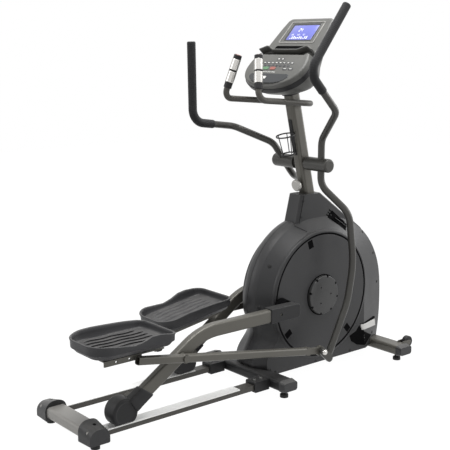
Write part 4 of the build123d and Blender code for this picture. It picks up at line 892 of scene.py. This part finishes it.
def add_wheel_cover(bm):
    """Rounded drum over the roller with a slanted sleeve up the arm."""
    section = [(30, COVER_IN + 0.4), (40, COVER_IN)]
    section += [(COVER_R - INNER_ROUND + s, COVER_IN + INNER_ROUND - c) for c, s in quarter(INNER_ROUND)]
    section += [(COVER_R - OUTER_ROUND + c, COVER_OUT - OUTER_ROUND + s) for c, s in quarter(OUTER_ROUND)]
    section += [(radius, COVER_OUT + sunk) for radius, sunk in COVER_HUB]
    add_rings(bm, [cover_ring(radius, -y) for radius, y in section])
    over = Vector((0, 1, 0)).cross(ARM_RUN)
    rings = []
    for run, grow in SLEEVE:
        slant = SLANT * max(0.0, (run - SLANT_START) / SLANT_RUN)
        ring = []
        for p in rounded_outline(SLEEVE_HALF_Y + grow, SLEEVE_HALF_UP + grow, (SLEEVE_CORNER + grow,) * 4, 6):
            ring.append(ROLLER + ARM_RUN * (run + slant * p.y) + Vector((0, p.x + ARM_Y, 0)) + over * p.y)
        rings.append(ring)
    add_rings(bm, rings)


class TRAINER_OT_arm_covers(bpy.types.Operator):
    """Wheel covers, crank pin bosses coloured as painted shade and bright pivot caps"""
    bl_idname = "trainer.arm_covers"
    bl_label = "Arm covers"

    def execute(self, context):
        pair("roller_hood", add_wheel_cover, "arm", "black_plastic", crease=50.0, node="wheel_cover")
        pair("pin_boss", lathe(PIN_BOSS, PIN, 64), "crank", "pocket_black")
        pair("toggle_cap", lathe(TOGGLE_CAP, TOGGLE, 40), "handle", "contact_chrome")
        return {"FINISHED"}


# The console is worked square to its face: u down the slope, y across and height out of it
FACE_SLOPE = math.radians(47.5)
FACE_DOWN = Vector((-math.cos(FACE_SLOPE), 0, -math.sin(FACE_SLOPE)))
FACE_OUT = Vector((-math.sin(FACE_SLOPE), 0, math.cos(FACE_SLOPE)))
FACE = Matrix.Translation((54, 0, 1581)) @ Matrix((FACE_DOWN, (0, 1, 0), FACE_OUT)).transposed().to_4x4()
SLAB_TOP, SLAB_CORNER, CONSOLE_END = 138.0, 26.0, 405.0
CONSOLE_MIDDLE, CONSOLE_HALF_Y = 196.0, 152.0
POD_EDGE = ((172, 160), (190, 158), (208, 158), (232, 166), (260, 176), (290, 181), (320, 178), (346, 166),
            (368, 145), (385, 115), (396, 82), (403, 44), (405, 0))
POD_TOP = [(226, 0), (226, 140), (216, 154)]
POD_RINGS = ((0, -3), (3, 8), (5, 15), (8, 20), (12, 22), (18, 22.4))
# Depth of the back down the slope, then each ring's inset, share of that depth and drop
BACK_DEPTHS = ((0, -40), (60, -50), (140, -56), (200, -92), (250, -108), (310, -104), (370, -80), (405, -56))
BODY_RINGS = ((9, 0, 0), (4, 0, -0.6), (1.2, 0, -2.4), (0, 0, -6), (1, 0.2, -4), (5, 0.45, 0), (11, 0.68, 0),
              (20, 0.85, 0), (33, 0.95, 0), (52, 1.0, 0), (82, 1.02, 0), (112, 1.03, 0))
LIP_HALF = ((206, 162), (198, 146), (188, 126), (189, 112), (200, 90), (206, 78), (207, 0))
CHIN_PANEL = ((338, 0), (338, 108), (344, 118), (354, 120), (366, 110), (378, 88), (385, 56), (387, 0))
SCREEN_FRAME = [(24, 0), (24, 96), (27, 100), (138, 106), (142, 103), (142, 0)]
KEY_ROWS = ((256, 2), (277, 8), (293, 7))
KEY_PITCH, KEY_SHIFT, KEY_BASE = 24.0, -10.0, 22.0
SIDE_KEYS = ((309, -72), (309, -106))
# Sample readings: text, place on the face and height
FIGURES = (("24", 62, 26, 17), ("105", 94, 58, 8), ("380", 94, 22, 8), ("62", 94, -16, 8))
FIGURE_BASE, FIGURE_TOP = 1.2, 1.7
HUB, MAST_LEAN, SOCKET_REACH = Vector((8, 0, 954)), math.radians(13.1), 347.0


def smooth_run(points, steps):
    """Points along a curve through (u, y) pairs that ends on the middle line."""
    knots = [Vector(p).to_3d() for p in points]
    knots = [2 * knots[0] - knots[1]] + knots + [Vector((knots[-2].x, -knots[-2].y, 0))]
    run = []
    for a, b, c, d in zip(knots, knots[1:], knots[2:], knots[3:]):
        bend = 2 * a - 5 * b + 4 * c - d
        twist = 3 * b - a - 3 * c + d
        for t in (i / steps for i in range(steps)):
            spot = 0.5 * (2 * b + (c - a) * t + bend * t ** 2 + twist * t ** 3)
            run.append((spot.x, spot.y))
    run.append((knots[-2].x, knots[-2].y))
    return run


CHIN_EDGE = smooth_run(POD_EDGE, 5)


def shrunk(outline, inset, middle=CONSOLE_MIDDLE, half_y=CONSOLE_HALF_Y):
    """Outline drawn in towards its middle."""
    scale = 1 - inset / CONSOLE_MIDDLE
    return [(middle + (u - middle) * scale, y * (1 - inset / half_y)) for u, y in outline]


def add_console_body(bm):
    """Slab with a rounded lower end and a bowl behind."""
    half = [(0, 0), (0, 60)]
    half += [(SLAB_CORNER - c, SLAB_TOP - SLAB_CORNER + s) for c, s in quarter(SLAB_CORNER)]
    outline = mirrored(half + [(60, 146), (100, 151.5), (140, 157)] + CHIN_EDGE)
    add_rings(bm, [[FACE @ Vector((u, y, share * along(BACK_DEPTHS, u) + drop))
                    for u, y in shrunk(outline, inset)] for inset, share, drop in BODY_RINGS])


def add_pod(bm):
    """Raised keypad panel over the lower half of the face, sloping off at the chin."""
    outline = mirrored(POD_TOP + [(u, y) for u, y in CHIN_EDGE if u > 220])
    rings = []
    for inset, height in POD_RINGS:
        ring = []
        for u, y in shrunk(outline, inset, 305.0, 170.0):
            slope = min(1.0, max(0.0, (CONSOLE_END + 4 - u) / 26))
            ring.append(FACE @ Vector((u, y, height * (0.25 + 0.75 * slope) if height > 0 else height)))
        rings.append(ring)
    add_rings(bm, rings)


def strip(points, size_across, size_out, rise, soft):
    """Filler for a rounded bar on the face along (u, y) points."""
    path = [Vector((u, y, rise)) for u, y in points]
    section = rounded_outline(size_across / 2, size_out / 2, (soft,) * 4, 3)
    rings = []
    for i, point in enumerate(path):
        on = heading(path, i)
        across = Vector((on.y, -on.x, 0))
        rings.append([FACE @ (point + across * p.x + Vector((0, 0, p.y))) for p in section])
    return lambda bm: add_rings(bm, rings)


def add_plate(bm, u, y, half_u, half_y, base, top, corner):
    """Thin rounded plate on the face."""
    rings = []
    for inset, height in ((0, base), (0, top - 0.25 * (top - base)), (min(0.6, half_u / 3), top)):
        radius = max(corner - inset, 0.3)
        outline = rounded_outline(half_u - inset, half_y - inset, (radius,) * 4, 4)
        rings.append([FACE @ (Vector((u, y, height)) + p) for p in outline])
    add_rings(bm, rings)


def plate(*size):
    """Filler for one plate."""
    return lambda bm: add_plate(bm, *size)


SEGMENTS = {"0": "abcdef", "1": "bc", "2": "abged", "3": "abgcd", "4": "fgbc", "5": "afgcd", "6": "afgedc",
            "8": "abcdefg"}
BARS = {"a": (0, 0.5, 1), "b": (0.5, 1, 0), "c": (1.5, 1, 0), "d": (2, 0.5, 1), "e": (1.5, 0, 0),
        "f": (0.5, 0, 0), "g": (1, 0.5, 1)}


def add_figures(bm, text, u, y, size):
    """Plain seven-bar numbers, read from the rear of the machine."""
    thick = size * 0.09
    for place, mark in enumerate(text):
        left = y - place * size * 0.72
        for bar in SEGMENTS[mark]:
            down, over, level = BARS[bar]
            half_u, half_y = (thick, size * 0.19) if level else (size * 0.21, thick)
            add_plate(bm, u + down * size / 2, left - over * size * 0.45, half_u, half_y, FIGURE_BASE,
                      FIGURE_TOP, thick * 0.6)


def add_screen_figures(bm):
    """Sample readings and a row of bars."""
    for row in FIGURES:
        add_figures(bm, *row)
    for column in range(10):
        tall = 3 + 5 * abs(math.sin(column * 0.9))
        add_plate(bm, 122 - tall, 52 - column * 11, tall, 2.6, FIGURE_BASE, FIGURE_TOP, 0.8)


def key_places(rows):
    """Places of keys in centred rows."""
    for u, count in rows:
        for column in range(count):
            yield u, KEY_SHIFT - (column - (count - 1) / 2) * KEY_PITCH


def add_keys(bm):
    """Flat keys of the keypad."""
    for u, y in key_places(KEY_ROWS):
        add_plate(bm, u, y, 6, 9.5, KEY_BASE, KEY_BASE + 1, 3)
    for u, y in SIDE_KEYS:
        add_plate(bm, u, y, 7, 13, KEY_BASE, KEY_BASE + 1.4, 3)


def add_marks(bm):
    """Plain pale marks on the keys and a line below them."""
    for u, y in key_places(KEY_ROWS[:2]):
        add_plate(bm, u, y, 2.4, 5.5, KEY_BASE + 0.8, KEY_BASE + 1.5, 1.0)
    add_plate(bm, 328, 22, 1.4, 46, KEY_BASE, KEY_BASE + 0.9, 0.6)
    for u, y in SIDE_KEYS:
        add_plate(bm, u, y, 1.6, 8, KEY_BASE + 1, KEY_BASE + 1.9, 0.8)


def add_socket(bm):
    """Flared collar between the mast and the console."""
    on = Vector((-math.sin(MAST_LEAN), 0, math.cos(MAST_LEAN)))
    place = basis(HUB + on * SOCKET_REACH, on, Vector((0, 1, 0)))
    rings = []
    for height, grow in ((-36, 2), (-34, 5), (10, 8), (40, 14)):
        outline = rounded_outline(31 + grow, 25 + grow, (14,) * 4, 5)
        rings.append([place @ (p + Vector((0, 0, height))) for p in outline])
    add_rings(bm, rings)


def add_chin_panel(bm):
    """Dark panel below the keys, narrowing to the chin."""
    outline = mirrored(CHIN_PANEL)
    add_rings(bm, [[FACE @ Vector((u, y, height)) for u, y in shrunk(outline, inset, 366.0)]
                   for inset, height in ((0, 12), (0, 23), (1.5, 24))])


POD_BAND = mirrored([(u, y) for u, y in CHIN_EDGE if u > 200], 0)
BOOK_LIP = mirrored(LIP_HALF, 0)
SCREEN_LOOP = mirrored(SCREEN_FRAME) + SCREEN_FRAME[:1]
# Name, filler, finish, slot where it isn't the finish, and the node that it replaces
CONSOLE_PIECES = (
    ("pod_band", strip(POD_BAND, 5, 24, -11, 2.2), "black_plastic", None, None),
    ("mast_socket", add_socket, "black_plastic", None, None),
    ("screen_frame", strip(SCREEN_LOOP, 5, 3, 0.8, 1.2), "screen_lip", "grey_plastic", None),
    # Black well round the screen: painted shade of the recess inside its frame
    ("screen_well", plate(82, 0, 50, 84, -2, 0.7, 3), "gloss_black", "black_plastic", None),
    ("screen_pane", plate(85, -3, 42, 76, 0, 1.3, 2), "screen_glass", None, "display"),
    ("screen_figures", add_screen_figures, "screen_figures", "screen_glass", None),
    ("book_lip", strip(BOOK_LIP, 6, 31, 15, 2.4), "grey_plastic", None, "reading_ledge"),
    # Near-black pocket behind the book lip and recess below it: painted shade
    ("book_pocket", plate(178, 6, 17, 100, -2, 0.8, 10), "pocket_black", "black_plastic", None),
    ("lip_recess", plate(217, 0, 11, 142, -2, 1.2, 8), "pocket_black", "black_plastic", None),
    ("keypad", add_keys, "key_plastic", None, "console_keys"),
    ("keypad_marks", add_marks, "mark_white", "key_plastic", None),
    ("go_key", plate(308, 48, 8, 18, 22, 24.2, 5), "key_green", "key_plastic", None),
    ("stop_key", plate(308, 4, 8, 16, 22, 24.2, 5), "key_red", "key_plastic", None),
    ("chin_panel", add_chin_panel, "chin_gloss", "black_plastic", None),
    ("jack_plate", plate(360, 18, 8, 10, 8, 25.2, 2), "mark_white", "key_plastic", None),
)


class TRAINER_OT_console(bpy.types.Operator):
    """Console with its screen, book lip, keypad and rounded back"""
    bl_idname = "trainer.console"
    bl_label = "Console"

    def execute(self, context):
        piece("console_body", add_console_body, "frame", "grey_plastic", crease=60.0, node="console_back")
        piece("keypad_pod", add_pod, "frame", "grey_plastic", crease=60.0, node="console_face")
        for name, add, finish, slot, node in CONSOLE_PIECES:
            piece(name, add, "frame", finish, node=node)
        return {"FINISHED"}


FLOOR_HALF, FLOOR_GREY, FLOOR_GLOW, FLOOR_SHARE = 9.0, 0.65, 1.12, 0.88
ROOM_LIGHT = 0.23
LAMPS = (("overhead", (0.1, -0.4, 4.2), 3.0, 215.0), ("window", (3.0, -3.2, 2.2), 2.2, 30.0),
         ("front", (4.2, -1.3, 1.7), 1.6, 42.0), ("rear", (-3.6, 2.0, 2.2), 1.6, 30.0))
LAMP_AIM = Vector((0, 0, 0.7))
CAMERA_PLACE = (-2.56307, -2.98803, 1.46776)
CAMERA_DIP, CAMERA_HEADING = 10.8334779, 50.3565532
CAMERA_LENS, CAMERA_SENSOR = 75.402, 36.0


def seen_rays(tree):
    """One where the camera, a mirror or glass looks, and zero for light."""
    path = add_node(tree, "LightPath").outputs
    rays = math_node(tree, "ADD", path["Is Camera Ray"], path["Is Glossy Ray"], True)
    return math_node(tree, "ADD", rays, path["Is Transmission Ray"], True)


def add_floor(scene):
    """Plain floor that looks white and keeps the object's shadow."""
    mesh = bpy.data.meshes.new("floor")
    corners = [(x * FLOOR_HALF, y * FLOOR_HALF, 0) for x, y in ((-1, -1), (1, -1), (1, 1), (-1, 1))]
    mesh.from_pydata(corners, [], [(0, 1, 2, 3)])
    floor = bpy.data.objects.new("floor", mesh)
    scene.collection.objects.link(floor)
    material = bpy.data.materials.new("floor_white")
    tree = cleared(material)
    share = math_node(tree, "MULTIPLY", seen_rays(tree), FLOOR_SHARE)
    plain = add_node(tree, "BsdfDiffuse", Color=(FLOOR_GREY, FLOOR_GREY, FLOOR_GREY, 1.0)).outputs[0]
    bright = add_node(tree, "Emission", Strength=FLOOR_GLOW).outputs[0]
    mixed = add_node(tree, "MixShader", i0=share, i1=plain, i2=bright).outputs[0]
    tree.links.new(mixed, add_node(tree, "OutputMaterial").inputs["Surface"])
    mesh.materials.append(material)


def make_world():
    """White surround that casts less light than it shows."""
    world = bpy.data.worlds.new("studio")
    tree = cleared(world)
    strength = add_node(tree, "MapRange", Value=seen_rays(tree), i3=ROOM_LIGHT, i4=1.0)
    back = add_node(tree, "Background", Color=(1, 1, 1, 1), Strength=strength.outputs["Result"])
    tree.links.new(back.outputs[0], add_node(tree, "OutputWorld").inputs["Surface"])
    return world


class TRAINER_OT_stage(bpy.types.Operator):
    """White floor, soft lights and the camera"""
    bl_idname = "trainer.stage"
    bl_label = "Stage"

    def execute(self, context):
        scene = context.scene
        scene.view_settings.view_transform = "Standard"
        add_floor(scene)
        scene.world = make_world()
        for name, place, size, power in LAMPS:
            lamp = bpy.data.lights.new(name, "AREA")
            lamp.size = size
            lamp.energy = power
            holder = bpy.data.objects.new(name, lamp)
            holder.location = place
            holder.rotation_euler = (LAMP_AIM - Vector(place)).to_track_quat("-Z", "Y").to_euler()
            scene.collection.objects.link(holder)
        lens = bpy.data.cameras.new("photo")
        lens.lens = CAMERA_LENS
        lens.sensor_width = CAMERA_SENSOR
        camera = bpy.data.objects.new("photo", lens)
        camera.location = CAMERA_PLACE
        camera.rotation_euler = (math.radians(90 - CAMERA_DIP), 0, math.radians(CAMERA_HEADING - 90))
        scene.collection.objects.link(camera)
        scene.camera = camera
        return {"FINISHED"}


OPERATORS = (TRAINER_OT_finishes, TRAINER_OT_foam_grips, TRAINER_OT_pedals, TRAINER_OT_drum_trim,
             TRAINER_OT_drum_fittings, TRAINER_OT_arm_covers, TRAINER_OT_console, TRAINER_OT_stage)


class TRAINER_PT_panel(bpy.types.Panel):
    """Lists the trainer's pieces"""
    bl_idname = "TRAINER_PT_panel"
    bl_label = "Elliptical Trainer"
    bl_space_type = "VIEW_3D"
    bl_region_type = "UI"
    bl_category = "Trainer"

    def draw(self, context):
        for group in (context.scene.trainer_colours, context.scene.trainer_sizes):
            for key in group.__annotations__:
                self.layout.prop(group, key)
        for operator in OPERATORS:
            self.layout.operator(operator.bl_idname)


CLASSES = (TrainerColours, TrainerSizes, *OPERATORS, TRAINER_PT_panel)


def register():
    for cls in CLASSES:
        bpy.utils.register_class(cls)
    bpy.types.Scene.trainer_colours = bpy.props.PointerProperty(type=TrainerColours)
    bpy.types.Scene.trainer_sizes = bpy.props.PointerProperty(type=TrainerSizes)


def unregister():
    del bpy.types.Scene.trainer_colours
    del bpy.types.Scene.trainer_sizes
    for cls in reversed(CLASSES):
        bpy.utils.unregister_class(cls)


def main():
    register()
    for operator in OPERATORS:
        group, name = operator.bl_idname.split(".")
        getattr(getattr(bpy.ops, group), name)()


if __name__ == "__main__":
    main()
